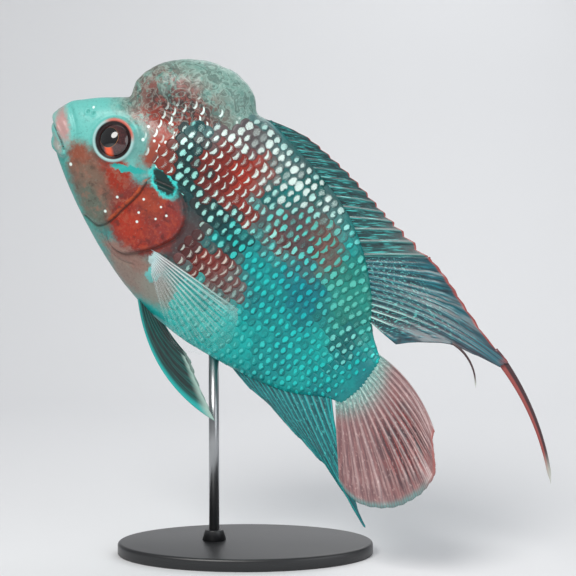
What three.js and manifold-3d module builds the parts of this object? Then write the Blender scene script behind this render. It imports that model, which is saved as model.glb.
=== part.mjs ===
// A flowerhorn cichlid, life size, swimming head-up on a plain display stand.
// Millimetres, +Z up. The origin is the centre of the stand's underside.
// The fish is drawn in a frame of its own: u runs from the snout to the tail,
// v to the fish's right and w to its back. Its rear half bends to its left, and the
// whole fish is then pitched, banked and set over the stand by one group.
import * as THREE from "three";
import { mergeVertices } from "three/addons/utils/BufferGeometryUtils.js";
import Module from "manifold-3d";

const wasm = await Module();
wasm.setup();
const { degToRad } = THREE.MathUtils;

// Gap that touching pieces keep
const GAP = 0.3;

// Pose of the fish over the stand
const PITCH = degToRad(40);
const BANK = degToRad(10);
const SNOUT = new THREE.Vector3(-92.5, 0, 206.5);

// Sideways bend of the rear half, to the fish's left
const BEND_START = 80;
const BEND_END = 215;
const BEND_ANGLE = degToRad(33);

// Side profile of the trunk without its hump, as [distance from the snout, height]
const BACK_LINE = [
  [-2.2, 9.5],
  [0, 15.5],
  [2, 18],
  [10, 26.2],
  [20.8, 35.5],
  [45, 53.5],
  [76, 69],
  [98, 67.8],
  [131, 62],
  [152, 53],
  [171, 39.5],
  [181, 29],
  [190, 25],
  [194.5, 24.6],
];
const BELLY_LINE = [
  [-2.2, 6.5],
  [0, 2.5],
  [4, -3.2],
  [13, -10.2],
  [31, -20.2],
  [51, -29],
  [73, -36.2],
  [94, -39.4],
  [116, -38.6],
  [141, -33.2],
  [157, -28],
  [172, -20.8],
  [186, -11],
  [194.5, -8.8],
];
const HALF_WIDTH = [
  [-2.2, 2.6],
  [0, 5],
  [4, 8],
  [12, 11],
  [29, 15.6],
  [50, 18.9],
  [74, 20],
  [98, 18.8],
  [131, 13.6],
  [157, 8.8],
  [178, 5.2],
  [194.5, 3.2],
];
// Share of the depth, from the belly, where the body is widest, and how full its section is
const WIDEST_LEVEL = 0.45;
const SECTION_POWER = 2.12;
const BODY_STATIONS = 36;
const BODY_SIDES = 34;
const TAIL_ROUNDING = 3;

// Nuchal hump: an ellipsoid on the slope of the forehead
const HUMP_CENTRE = [46, 53];
const HUMP_TILT = degToRad(34);
const HUMP_HALF_LENGTH = 30;
const HUMP_HEIGHT = 20.2;
const HUMP_HALF_WIDTH = 15.2;
const HUMP_SEAT_DEPTH = 6;

// Lips, as [u, v, w] of the mouth's corner, its cheek side and its front
const UPPER_LIP = { corner: [14, 9.4, -1], side: [6.2, 7.4, 3.8], front: [1.9, 0, 5.6], thick: 4, thin: 2.1 };
const LOWER_LIP = { corner: [13.6, 9.4, -4.4], side: [8.6, 7.2, -4.4], front: [5.4, 0, -3.2], thick: 2.1, thin: 1.5 };
const MOUTH_FRONT = [-4, 1.6];
const MOUTH_CORNER = [13.5, -3.3];
const MOUTH_GAPE = 0.9;

// Eyes, nostrils and gill covers
const EYE = { u: 29.3, w: 17.6, radius: 8.5, depth: 5.2, bulge: 2.1, forward: degToRad(14), upward: degToRad(6) };
const ORBIT_RIM = 1.15;
const NOSTRIL = { u: 10.8, w: 19, radius: 1.2 };
const GILL_COVER_CENTRE = [65, -1];
const GILL_COVER_EDGE = [
  [51.8, 12.6],
  [60.5, 17.4],
  [70.5, 19],
  [78, 12.6],
  [80.6, 4],
  [77.8, -4.8],
  [72, -14],
  [65.5, -21.4],
  [57.5, -21.8],
  [51.4, -15.5],
  [50.8, -2],
];
const GILL_COVER_RISE = 1.7;

// Where the body is parted, as the u of the cut at the back and at the belly
const HEAD_CUT = [92, 68.5];
const TAIL_CUT = 152;

// Stand
const BASE_HALF_LENGTH = 62;
const BASE_HALF_DEPTH = 37;
const BASE_HEIGHT = 6;
const ROD_RADIUS = 2.5;
const ROD_SOCKET_RADIUS = 6;
const ROD_SOCKET_HEIGHT = 5;
const ROD_U = 131;

// A smooth curve through [x, y] keys, flat beyond its ends
function through(keys) {
  const slope = keys.map(([x, y], i) => {
    const [x0, y0] = keys[Math.max(i - 1, 0)];
    const [x1, y1] = keys[Math.min(i + 1, keys.length - 1)];
    return (y1 - y0) / (x1 - x0);
  });
  return (x) => {
    if (x <= keys[0][0]) return keys[0][1];
    const k = keys.findIndex(([edge]) => edge >= x);
    if (k < 0) return keys[keys.length - 1][1];
    const [x0, y0] = keys[k - 1];
    const [x1, y1] = keys[k];
    const span = x1 - x0;
    const t = (x - x0) / span;
    const a = t * t * (3 - 2 * t);
    const b = t * (1 - t) * (1 - t);
    const c = t * t * (t - 1);
    return y0 * (1 - a) + y1 * a + span * (slope[k - 1] * b + slope[k] * c);
  };
}

const backLine = through(BACK_LINE);
const bellyLine = through(BELLY_LINE);
const halfWidth = through(HALF_WIDTH);

// Heading of the spine at u, in radians to the fish's left
function heading(u) {
  const t = THREE.MathUtils.clamp((u - BEND_START) / (BEND_END - BEND_START), 0, 1);
  return BEND_ANGLE * t * t * (3 - 2 * t);
}

// Spine of the bent fish: where the straight fish's point (u, 0, 0) goes
const SPINE_STEP = 0.5;
const spinePoints = [[BEND_START, 0]];
for (let u = BEND_START; u < 400; u += SPINE_STEP) {
  const [x, y] = spinePoints[spinePoints.length - 1];
  const turn = heading(u + SPINE_STEP / 2);
  spinePoints.push([x + SPINE_STEP * Math.cos(turn), y - SPINE_STEP * Math.sin(turn)]);
}
function spine(u) {
  if (u <= BEND_START) return [u, 0];
  const at = (u - BEND_START) / SPINE_STEP;
  const k = Math.floor(at);
  const [x0, y0] = spinePoints[k];
  const [x1, y1] = spinePoints[k + 1];
  return [x0 + (x1 - x0) * (at - k), y0 + (y1 - y0) * (at - k)];
}
function bend(u, v, w) {
  const [x, y] = spine(u);
  const turn = heading(u);
  return new THREE.Vector3(x + v * Math.sin(turn), y + v * Math.cos(turn), w);
}

// The trunk's section at u, grown by an even margin
function section(u, margin = 0) {
  const top = backLine(u);
  const bottom = bellyLine(u);
  const level = bottom + (top - bottom) * WIDEST_LEVEL;
  return { level, up: top - level + margin, down: level - bottom + margin, half: halfWidth(u) + margin };
}
function bodyPoint(u, angle, margin) {
  const { level, up, down, half } = section(u, margin);
  const power = 2 / SECTION_POWER;
  const across = Math.sign(Math.sin(angle)) * Math.abs(Math.sin(angle)) ** power;
  const along = Math.sign(Math.cos(angle)) * Math.abs(Math.cos(angle)) ** power;
  return [u, half * across, level + (along > 0 ? up : down) * along];
}
// Half width of the trunk at u and height w
function sideAt(u, w, margin = 0) {
  const { level, up, down, half } = section(u, margin);
  const share = Math.min(Math.abs(w - level) / (w > level ? up : down), 0.999);
  return half * (1 - share ** SECTION_POWER) ** (1 / SECTION_POWER);
}

// Closed mesh of rings, each a list of as many points, with a point at either end
function ringMesh(first, rings, last) {
  const sides = rings[0].length;
  const vertices = [first, ...rings.flat(), last].flatMap((p) => [p.x, p.y, p.z]);
  const end = rings.length * sides + 1;
  const faces = [];
  for (let k = 0; k < sides; k++) {
    const next = (k + 1) % sides;
    faces.push([0, 1 + next, 1 + k]);
    faces.push([end, end - sides + k, end - sides + next]);
    for (let r = 0; r + 1 < rings.length; r++) {
      const a = 1 + r * sides;
      const b = a + sides;
      faces.push([a + k, a + next, b + next]);
      faces.push([a + k, b + next, b + k]);
    }
  }
  return indexed(vertices, faces);
}
function indexed(vertices, faces) {
  const geometry = new THREE.BufferGeometry();
  geometry.setAttribute("position", new THREE.Float32BufferAttribute(vertices, 3));
  geometry.setIndex(faces.flat());
  return geometry;
}

// Solids for cutting and joining, and back again
function solid(geometry) {
  const bare = geometry.clone();
  bare.deleteAttribute("normal");
  bare.deleteAttribute("uv");
  const merged = mergeVertices(bare, 1e-4);
  const mesh = new wasm.Mesh({
    numProp: 3,
    vertProperties: merged.attributes.position.array,
    triVerts: new Uint32Array(merged.index.array),
  });
  const made = new wasm.Manifold(mesh);
  if (made.volume() > 0) return made;
  const flipped = merged.index.array;
  for (let i = 0; i < flipped.length; i += 3) [flipped[i + 1], flipped[i + 2]] = [flipped[i + 2], flipped[i + 1]];
  return solid(merged);
}
function largest(manifold) {
  return manifold.decompose().sort((a, b) => b.volume() - a.volume())[0];
}
function geometryOf(manifold) {
  const mesh = largest(manifold).getMesh();
  const geometry = new THREE.BufferGeometry();
  geometry.setAttribute("position", new THREE.BufferAttribute(mesh.vertProperties, 3));
  geometry.setIndex(new THREE.BufferAttribute(mesh.triVerts, 1));
  return geometry;
}

// Trunk from snout to tail base, with stations closer at both ends
function trunk(margin = 0) {
  const start = BACK_LINE[0][0];
  const finish = BACK_LINE[BACK_LINE.length - 1][0];
  const rings = [];
  for (let i = 0; i <= BODY_STATIONS; i++) {
    const t = i / BODY_STATIONS;
    const eased = 0.5 * t + 0.25 * (1 - Math.cos(Math.PI * t));
    const u = start + (finish - start) * eased;
    const ring = [];
    for (let k = 0; k < BODY_SIDES; k++) {
      const p = bodyPoint(u, (2 * Math.PI * k) / BODY_SIDES, margin);
      ring.push(bend(...p));
    }
    rings.push(ring);
  }
  const nose = bend(start - 0.8 - margin, 0, section(start).level);
  const tail = bend(finish + TAIL_ROUNDING + margin, 0, section(finish).level);
  return solid(ringMesh(nose, rings, tail));
}

// Hump, grown by a margin and trimmed to its seat on the forehead
function hump(margin = 0) {
  const dome = new THREE.SphereGeometry(1, 28, 14);
  dome.scale(HUMP_HALF_LENGTH + margin, HUMP_HALF_WIDTH + margin, HUMP_HEIGHT + margin);
  dome.rotateY(-HUMP_TILT);
  dome.translate(HUMP_CENTRE[0], 0, HUMP_CENTRE[1]);
  const normal = [-Math.sin(HUMP_TILT), 0, Math.cos(HUMP_TILT)];
  const height = normal[0] * HUMP_CENTRE[0] + normal[2] * HUMP_CENTRE[1];
  return solid(dome).trimByPlane(normal, height - HUMP_SEAT_DEPTH - margin);
}

// A tapered tube along a list of points
function tube(points, radii, steps, sides) {
  const curve = new THREE.CatmullRomCurve3(points);
  const across = new THREE.Vector3();
  const rings = [];
  for (let i = 0; i <= steps; i++) {
    const t = i / steps;
    const centre = curve.getPoint(t);
    const along = curve.getTangent(t);
    across.set(0, 0, 1).cross(along).normalize();
    const upright = along.clone().cross(across);
    const ring = [];
    for (let k = 0; k < sides; k++) {
      const angle = (2 * Math.PI * k) / sides;
      const arm = across.clone().multiplyScalar(Math.cos(angle) * radii(t));
      ring.push(arm.addScaledVector(upright, Math.sin(angle) * radii(t)).add(centre));
    }
    rings.push(ring);
  }
  return ringMesh(curve.getPoint(0), rings, curve.getPoint(1));
}
function lip({ corner, side, front, thick, thin }) {
  const mirrored = ([u, v, w]) => new THREE.Vector3(u, -v, w);
  const points = [mirrored(corner), mirrored(side), ...[front, side, corner].map((p) => new THREE.Vector3(...p))];
  const radii = (t) => thin + (thick - thin) * Math.sin(Math.PI * t);
  return solid(tube(points, radii, 16, 10));
}

// A thin wedge that parts the lips
function mouthSlit() {
  const [u0, w0] = MOUTH_FRONT;
  const [u1, w1] = MOUTH_CORNER;
  const length = Math.hypot(u1 - u0, w1 - w0);
  const wedge = new THREE.BoxGeometry(length, 40, MOUTH_GAPE);
  wedge.rotateY(Math.atan2(w0 - w1, u1 - u0));
  wedge.translate((u0 + u1) / 2, 0, (w0 + w1) / 2);
  return solid(wedge);
}

// Eye on one side, 1 for the fish's right and -1 for its left
function eyeMatrix(side) {
  const { u, w, forward, upward, depth, bulge } = EYE;
  const outward = new THREE.Vector3(-Math.sin(forward), side * Math.cos(forward), Math.sin(upward)).normalize();
  const turn = new THREE.Quaternion().setFromUnitVectors(new THREE.Vector3(0, 0, 1), outward);
  const centre = new THREE.Vector3(u, side * sideAt(u, w), w).addScaledVector(outward, bulge - depth);
  return new THREE.Matrix4().compose(centre, turn, new THREE.Vector3(1, 1, 1));
}
function eyeball(side, margin = 0) {
  const ball = new THREE.SphereGeometry(1, 20, 10);
  ball.rotateX(Math.PI / 2);
  ball.scale(EYE.radius + margin, EYE.radius + margin, EYE.depth + margin);
  return solid(ball.applyMatrix4(eyeMatrix(side)));
}
function orbitRim(side) {
  const ring = new THREE.TorusGeometry(EYE.radius + 0.4, ORBIT_RIM, 6, 24);
  ring.translate(0, 0, EYE.depth - EYE.bulge - 0.3);
  return solid(ring.applyMatrix4(eyeMatrix(side)));
}
function nostril(side) {
  const pit = new THREE.SphereGeometry(NOSTRIL.radius, 10, 6);
  pit.translate(NOSTRIL.u, side * (sideAt(NOSTRIL.u, NOSTRIL.w) + 0.2), NOSTRIL.w);
  return solid(pit);
}

// Gill cover: a plate that lies on the side of the head, thinner at its rim
function gillCover(side) {
  const outline = new THREE.CatmullRomCurve3(
    GILL_COVER_EDGE.map(([u, w]) => new THREE.Vector3(u, 0, w)),
    true,
  );
  const SPOKES = 28;
  const SHARES = [0.3, 0.6, 0.85, 0.96, 1];
  const rise = [1, 1, 1, 0.85, 0.5];
  const centre = new THREE.Vector3(GILL_COVER_CENTRE[0], 0, GILL_COVER_CENTRE[1]);
  const onBody = (p, margin) => bend(p.x, side * sideAt(p.x, p.z, margin), p.z);
  const face = (height) =>
    SHARES.map((share, i) => {
      const ring = [];
      for (let k = 0; k < SPOKES; k++) {
        const p = outline.getPoint(k / SPOKES).lerp(centre, 1 - share);
        ring.push(onBody(p, height(i)));
      }
      return ring;
    });
  const inner = face(() => GAP + 0.05);
  const outer = face((i) => GILL_COVER_RISE * rise[i]);
  return solid(
    ringMesh(onBody(centre, GAP + 0.05), [...inner, ...outer.reverse()], onBody(centre, GILL_COVER_RISE)),
  );
}

// One fin ray: a curve from a root point, with pitch and yaw in degrees that change evenly
// from its root to its tip. Yaw is to the fish's left of the spine's own heading.
// Its first row is sunk in the body.
const RAY_PIECES = 24;
function ray({ u, v = 0, w, pitch, yaw, length, sunk, rows }) {
  const here = bend(u, v, w);
  const step = length / RAY_PIECES;
  const points = [here.clone()];
  const direction = (t) => {
    const rise = degToRad(pitch[0] + (pitch[1] - pitch[0]) * t);
    const turn = heading(u) + degToRad(yaw[0] + (yaw[1] - yaw[0]) * t);
    return new THREE.Vector3(Math.cos(rise) * Math.cos(turn), -Math.cos(rise) * Math.sin(turn), Math.sin(rise));
  };
  for (let i = 0; i < RAY_PIECES; i++) {
    here.addScaledVector(direction((i + 0.5) / RAY_PIECES), step);
    points.push(here.clone());
  }
  const curve = new THREE.CatmullRomCurve3(points);
  const out = [points[0].clone().addScaledVector(direction(0), -sunk)];
  for (let j = 0; j < rows; j++) out.push(curve.getPoint(j / (rows - 1)));
  return out;
}

// A fin from its rays: a web with a ridge along each ray, raised alike on both faces.
// crest and web are half thicknesses at the root and at the tip, and notch is how far
// the web stops short of the rays, as a share of their length.
function fin(rays, { crest, web, notch = 0.03 }) {
  const columns = [];
  rays.forEach((points, i) => {
    columns.push({ points, half: crest });
    if (i + 1 === rays.length) return;
    const middle = points.map((p, j) => {
      const other = rays[i + 1][j];
      const mid = p.clone().lerp(other, 0.5);
      if (j + 1 < points.length) return mid;
      const before = points[j - 1].clone().lerp(rays[i + 1][j - 1], 0.5);
      return mid.lerp(before, notch * (points.length - 1));
    });
    columns.push({ points: middle, half: web });
  });
  const rows = columns[0].points.length;
  const at = (i, j) => {
    const column = columns[THREE.MathUtils.clamp(i, 0, columns.length - 1)];
    return column.points[THREE.MathUtils.clamp(j, 0, rows - 1)];
  };
  const vertices = [];
  for (const side of [1, -1]) {
    for (let i = 0; i < columns.length; i++) {
      for (let j = 0; j < rows; j++) {
        const across = at(i + 1, j).clone().sub(at(i - 1, j));
        const along = at(i, j + 1).clone().sub(at(i, j - 1));
        const normal = across.cross(along).normalize();
        const t = j / (rows - 1);
        const half = columns[i].half[0] * (1 - t) + columns[i].half[1] * t;
        const p = at(i, j).clone().addScaledVector(normal, side * half);
        vertices.push(p.x, p.y, p.z);
      }
    }
  }
  const back = columns.length * rows;
  const faces = [];
  const quad = (a, b, c, d) => faces.push([a, b, c], [a, c, d]);
  for (let i = 0; i + 1 < columns.length; i++) {
    for (let j = 0; j + 1 < rows; j++) {
      const a = i * rows + j;
      const b = a + rows;
      faces.push([a, b, b + 1], [a, b + 1, a + 1]);
      faces.push([back + a, back + b + 1, back + b], [back + a, back + a + 1, back + b + 1]);
    }
    const root = i * rows;
    const tip = root + rows - 1;
    quad(root, back + root, back + root + rows, root + rows);
    quad(tip, tip + rows, back + tip + rows, back + tip);
  }
  const last = (columns.length - 1) * rows;
  for (let j = 0; j + 1 < rows; j++) {
    quad(j, j + 1, back + j + 1, back + j);
    quad(last + j, back + last + j, back + last + j + 1, last + j + 1);
  }
  return solid(indexed(vertices, faces));
}

// Rays spread evenly over a fin, with each property a curve of the share along its base
function fan(count, rows, at) {
  const rays = [];
  for (let i = 0; i < count; i++) rays.push(ray({ rows, ...at(i / (count - 1)) }));
  return rays;
}

// How far a middle fin lags behind the bend, in degrees of yaw for each millimetre of ray
const FIN_LAG = 0.12;

// Front of the dorsal fin: low spines, half folded
const SPINES = 15;
const SPINE_ROWS = 7;
const SPINY_BASE = [75, 154.4];
const spinePitch = through([[75, 20], [85, 28], [100, 33], [131, 33], [144, 40], [155, 41]]);
const spineLength = through([[75, 6], [85, 12.5], [100, 15.5], [131, 20], [144, 23.5], [155, 31]]);
function dorsalRay(u, pitch, curl, length) {
  return {
    u,
    w: backLine(u) - 0.5,
    pitch: [pitch + curl / 2, pitch - curl / 2],
    yaw: [0, -FIN_LAG * length],
    length,
    sunk: 4,
  };
}
const dorsalSpiny = fan(SPINES, SPINE_ROWS, (s) => {
  const u = SPINY_BASE[0] + (SPINY_BASE[1] - SPINY_BASE[0]) * s;
  return dorsalRay(u, spinePitch(u), 4, spineLength(u));
});

// Rear of the dorsal fin: soft rays that run together into the streamer
const SOFT_RAYS = 13;
const SOFT_ROWS = 12;
const SOFT_BASE = [155.2, 179];
const softPitch = through([
  [0, 41],
  [0.2, 33],
  [0.35, 26],
  [0.5, 19.2],
  [0.58, 16.3],
  [0.75, 17.4],
  [0.83, 21],
  [0.93, 18],
  [1, 5],
]);
const softLength = through([
  [0, 31.5],
  [0.2, 40],
  [0.35, 48],
  [0.5, 61],
  [0.58, 72],
  [0.67, 69.5],
  [0.75, 66.5],
  [0.83, 46],
  [0.92, 29],
  [1, 16],
]);
const softCurl = through([[0, 4], [0.35, 12], [0.58, 26], [0.74, 20], [0.88, 8], [1, 0]]);
const dorsalSoft = fan(SOFT_RAYS, SOFT_ROWS, (s) => {
  const u = SOFT_BASE[0] + (SOFT_BASE[1] - SOFT_BASE[0]) * s;
  return dorsalRay(u, softPitch(s), softCurl(s), softLength(s));
});

// Streamer: a ribbon that carries on from the tips of the three longest rays and droops
const STREAMER_RAYS = [7, 8, 9];
const STREAMER_LENGTH = 60;
const STREAMER_ROWS = 14;
const STREAMER_WIDTH = [4.6, 0.7];
const STREAMER_PITCH = [-9, -41];
function streamer() {
  const tip = (k) => dorsalSoft[k][SOFT_ROWS];
  const before = dorsalSoft[STREAMER_RAYS[1]][SOFT_ROWS - 1];
  const here = tip(STREAMER_RAYS[1]).clone();
  const along = here.clone().sub(before).normalize();
  const turn = Math.atan2(-along.y, along.x);
  here.addScaledVector(along, -2);
  const step = STREAMER_LENGTH / (STREAMER_ROWS - 1);
  const edges = [[], [], []];
  for (let j = 0; j < STREAMER_ROWS; j++) {
    const t = j / (STREAMER_ROWS - 1);
    const rise = degToRad(STREAMER_PITCH[0] + (STREAMER_PITCH[1] - STREAMER_PITCH[0]) * t);
    const flat = new THREE.Vector3(Math.cos(turn), -Math.sin(turn), 0);
    const onward = flat.clone().multiplyScalar(Math.cos(rise)).setZ(Math.sin(rise));
    const upright = flat.clone().multiplyScalar(-Math.sin(rise)).setZ(Math.cos(rise));
    const half = (STREAMER_WIDTH[0] + (STREAMER_WIDTH[1] - STREAMER_WIDTH[0]) * t ** 0.8) / 2;
    [-1, 0, 1].forEach((k, e) => edges[e].push(here.clone().addScaledVector(upright, -k * half)));
    here.addScaledVector(onward, step);
  }
  return edges;
}

// Anal fin: spines in front, soft rays and a short streamer behind
const ANAL_RAYS = 15;
const ANAL_ROWS = 10;
const ANAL_BASE = [141, 183.5];
const analPitch = through([[0, -6], [0.35, -9], [0.6, -13.5], [0.8, -18], [1, -22]]);
const analLength = through([
  [0, 13],
  [0.14, 24],
  [0.28, 34],
  [0.43, 44],
  [0.57, 52],
  [0.71, 58],
  [0.785, 70],
  [0.86, 54],
  [0.93, 40],
  [1, 24],
]);
const analFin = fan(ANAL_RAYS, ANAL_ROWS, (s) => {
  const u = ANAL_BASE[0] + (ANAL_BASE[1] - ANAL_BASE[0]) * s;
  const length = analLength(s);
  return {
    u,
    w: bellyLine(u) + 0.5,
    pitch: [analPitch(s) - 3, analPitch(s) + 3],
    yaw: [0, -FIN_LAG * length],
    length,
    sunk: 4,
  };
});

// Tail fin: a rounded fan whose upper rays curve down
const TAIL_RAYS = 17;
const TAIL_ROWS = 11;
const tailPitch = through([[0, -6], [0.25, -7], [0.5, -13], [0.75, -26], [1, -41]]);
const tailCurl = through([[0, 36], [0.2, 20], [0.5, 10], [1, -4]]);
const tailLength = through([[0, 48], [0.12, 50], [0.3, 58], [0.5, 61], [0.7, 58], [0.88, 50], [1, 38]]);
const TAIL_ROOT_U = 191;
const TAIL_ROOT_TOP = 22.5;
const TAIL_ROOT_BOTTOM = -7;
const tailFin = fan(TAIL_RAYS, TAIL_ROWS, (s) => ({
  u: TAIL_ROOT_U + 4 * Math.sin(Math.PI * s),
  w: TAIL_ROOT_TOP + (TAIL_ROOT_BOTTOM - TAIL_ROOT_TOP) * s,
  pitch: [tailPitch(s) + tailCurl(s) / 2, tailPitch(s) - tailCurl(s) / 2],
  yaw: [0, 0.15 * tailLength(s)],
  length: tailLength(s),
  sunk: 3,
}));

// Pectoral fin on one side: a soft fan behind the gill cover
const PECTORAL_RAYS = 12;
const PECTORAL_ROWS = 9;
const pectoralPitch = through([[0, 9], [0.5, -8], [1, -30]]);
const pectoralLength = through([[0, 51], [0.3, 56], [0.6, 54], [1, 38]]);
function pectoralFin(side) {
  return fan(PECTORAL_RAYS, PECTORAL_ROWS, (s) => {
    const u = 76.5 + 4 * s;
    const w = -10 - 8 * s;
    return {
      u,
      v: side * (sideAt(u, w) - 0.6),
      w,
      pitch: [pectoralPitch(s) + 3, pectoralPitch(s) - 3],
      yaw: [-side * 30, -side * 2],
      length: pectoralLength(s),
      sunk: 2.5,
    };
  });
}

// Pelvic fin on one side: the leading ray is drawn out long and curves back. The right fin
// hangs a little lower than the left
const PELVIC_RAYS = 6;
const PELVIC_ROWS = 12;
const pelvicStart = through([[0, -42], [1, -20]]);
const pelvicEnd = through([[0, 10], [0.3, 6], [1, 0]]);
const pelvicLength = through([[0, 70], [0.2, 60], [0.5, 44], [1, 26]]);
const PELVIC_FOLD = { right: -7, left: 1 };
function pelvicFin(side, fold) {
  return fan(PELVIC_RAYS, PELVIC_ROWS, (s) => {
    const u = 86.5 + 8.5 * s;
    const v = side * (6.5 - 2 * s);
    const { level, down, half } = section(u);
    const drop = down * (1 - (Math.abs(v) / half) ** SECTION_POWER) ** (1 / SECTION_POWER);
    return {
      u,
      v,
      w: level - drop + 0.5,
      pitch: [pelvicStart(s) + fold, pelvicEnd(s) + fold],
      yaw: [-side * 16, -side * 2],
      length: pelvicLength(s),
      sunk: 3,
    };
  });
}

// Stand base: an oval plate with a socket boss under the rod
function standBase(foot) {
  const plate = new THREE.LatheGeometry(
    [
      [0, 0],
      [1 - 0.6 / BASE_HALF_LENGTH, 0],
      [1, 0.6],
      [1, BASE_HEIGHT - 1.5],
      [1 - 1.5 / BASE_HALF_LENGTH, BASE_HEIGHT],
      [0, BASE_HEIGHT],
    ].map(([x, y]) => new THREE.Vector2(x, y)),
    56,
  );
  plate.rotateX(Math.PI / 2);
  plate.scale(BASE_HALF_LENGTH, BASE_HALF_DEPTH, 1);
  const boss = new THREE.CylinderGeometry(ROD_SOCKET_RADIUS - 1.5, ROD_SOCKET_RADIUS, ROD_SOCKET_HEIGHT + 1, 24);
  boss.rotateX(Math.PI / 2);
  boss.translate(foot.x, foot.y, BASE_HEIGHT + (ROD_SOCKET_HEIGHT - 1) / 2);
  return solid(plate).add(solid(boss));
}
function standRod(foot, height) {
  const bottom = BASE_HEIGHT + ROD_SOCKET_HEIGHT + GAP;
  const rod = new THREE.CylinderGeometry(ROD_RADIUS, ROD_RADIUS, height - bottom, 16);
  rod.rotateX(Math.PI / 2);
  rod.translate(foot.x, foot.y, (height + bottom) / 2);
  return solid(rod);
}

// Materials, by the colours of the fish's regions
const finish = (color, roughness) => new THREE.MeshStandardMaterial({ color, roughness, metalness: 0 });
const turquoise = finish("#2fb3ac", 0.35);
const headSkin = finish("#8f7a70", 0.4);
const humpSkin = finish("#7fb0a6", 0.4);
const gillRed = finish("#b04a38", 0.35);
const eyeDark = finish("#3a1512", 0.08);
const finTeal = finish("#1f7f83", 0.45);
const tailPink = finish("#9a7a7c", 0.45);
const paleFin = finish("#a9cdc8", 0.4);
const standBlack = finish("#17181a", 0.25);
const rodSteel = finish("#b9bcc0", 0.3);

const group = new THREE.Group();
const fish = new THREE.Group();
fish.rotation.set(BANK, PITCH, 0, "YXZ");
fish.position.copy(SNOUT);
group.add(fish);
function place(parent, name, manifold, material) {
  const mesh = new THREE.Mesh(geometryOf(manifold), material);
  mesh.name = name;
  parent.add(mesh);
}

// Flesh: the whole body is joined first, then parted by thin cuts
const SIDES = { right: 1, left: -1 };
let body = trunk().add(lip(UPPER_LIP)).add(lip(LOWER_LIP)).subtract(mouthSlit());
for (const side of [1, -1]) {
  body = body.add(orbitRim(side)).subtract(eyeball(side, GAP)).subtract(nostril(side));
}
body = body.subtract(hump(GAP));
const cutNormal = new THREE.Vector3(110, 0, HEAD_CUT[1] - HEAD_CUT[0]).normalize();
const cutThrough = new THREE.Vector3(HEAD_CUT[0], 0, 70).dot(cutNormal);
const backward = cutNormal.toArray();
const forward = cutNormal.clone().negate().toArray();
const tailCut = bend(TAIL_CUT, 0, 0);
const tailNormal = new THREE.Vector3(Math.cos(heading(TAIL_CUT)), -Math.sin(heading(TAIL_CUT)), 0);
const tailBackward = tailNormal.toArray();
const tailForward = tailNormal.clone().negate().toArray();
const tailThrough = tailCut.dot(tailNormal);
const behindHead = body.trimByPlane(backward, cutThrough + GAP / 2);
place(fish, "head", body.trimByPlane(forward, GAP / 2 - cutThrough), headSkin);
place(fish, "nuchal_hump", hump(), humpSkin);
place(fish, "torso", behindHead.trimByPlane(tailForward, GAP / 2 - tailThrough), turquoise);
place(fish, "tail_root", behindHead.trimByPlane(tailBackward, tailThrough + GAP / 2), turquoise);

// Fins meet the body across a gap, so each is cut by the body grown by that gap
const bodyWithGap = trunk(GAP);
const covers = {};
for (const [name, side] of Object.entries(SIDES)) {
  covers[name] = gillCover(side);
  place(fish, "eye_" + name, eyeball(side), eyeDark);
  place(fish, "gill_cover_" + name, covers[name], gillRed);
  const pectoral = fin(pectoralFin(side), { crest: [0.75, 0.3], web: [0.4, 0.25] });
  place(fish, "pectoral_fin_" + name, pectoral.subtract(bodyWithGap), paleFin);
  const pelvic = fin(pelvicFin(side, PELVIC_FOLD[name]), { crest: [0.9, 0.35], web: [0.4, 0.25] });
  place(fish, "pelvic_fin_" + name, pelvic.subtract(bodyWithGap), finTeal);
}
const spiny = fin(dorsalSpiny, { crest: [0.95, 0.35], web: [0.4, 0.25], notch: 0.1 });
place(fish, "dorsal_fin_spiny", spiny.subtract(bodyWithGap).subtract(hump(GAP)), finTeal);
const soft = fin(dorsalSoft, { crest: [0.9, 0.4], web: [0.45, 0.3], notch: 0.02 });
place(fish, "dorsal_fin_soft", soft.subtract(bodyWithGap), finTeal);
const softWithGap = fin(dorsalSoft, { crest: [1.6, 1.2], web: [1.2, 1.1], notch: 0 });
const ribbon = fin(streamer(), { crest: [0.55, 0.3], web: [0.35, 0.25], notch: 0 });
place(fish, "dorsal_streamer", ribbon.subtract(softWithGap), finTeal);
const anal = fin(analFin, { crest: [0.95, 0.35], web: [0.4, 0.25], notch: 0.04 });
place(fish, "anal_fin", anal.subtract(bodyWithGap), finTeal);
const tail = fin(tailFin, { crest: [0.95, 0.35], web: [0.4, 0.25], notch: 0.03 });
place(fish, "caudal_fin", tail.subtract(bodyWithGap), tailPink);

// Stand, in the frame of the whole object
fish.updateMatrixWorld(true);
const belly = bend(ROD_U, 0, bellyLine(ROD_U)).applyMatrix4(fish.matrixWorld);
const bodyInPlace = trunk(GAP + 0.1).transform(fish.matrixWorld.elements);
place(group, "stand_rod", standRod(belly, belly.z + 8).subtract(bodyInPlace), rodSteel);
place(group, "stand_base", standBase(belly), standBlack);

export default group;
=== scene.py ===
# %% [markdown]
# A flowerhorn cichlid on a display stand. A fish like this has one bent, scaly body, eight
# thin ribbed fins and two eyes. Its shape is worked out in a straight frame, where u runs
# from the snout to the tail, v to the fish's right and w to its back, in millimetres. That
# makes every curve easy to write. The last step bends the fish and sets it over the stand.

import math

import bmesh
import bpy
import numpy as np
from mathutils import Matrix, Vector, noise
from mathutils.bvhtree import BVHTree


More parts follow.
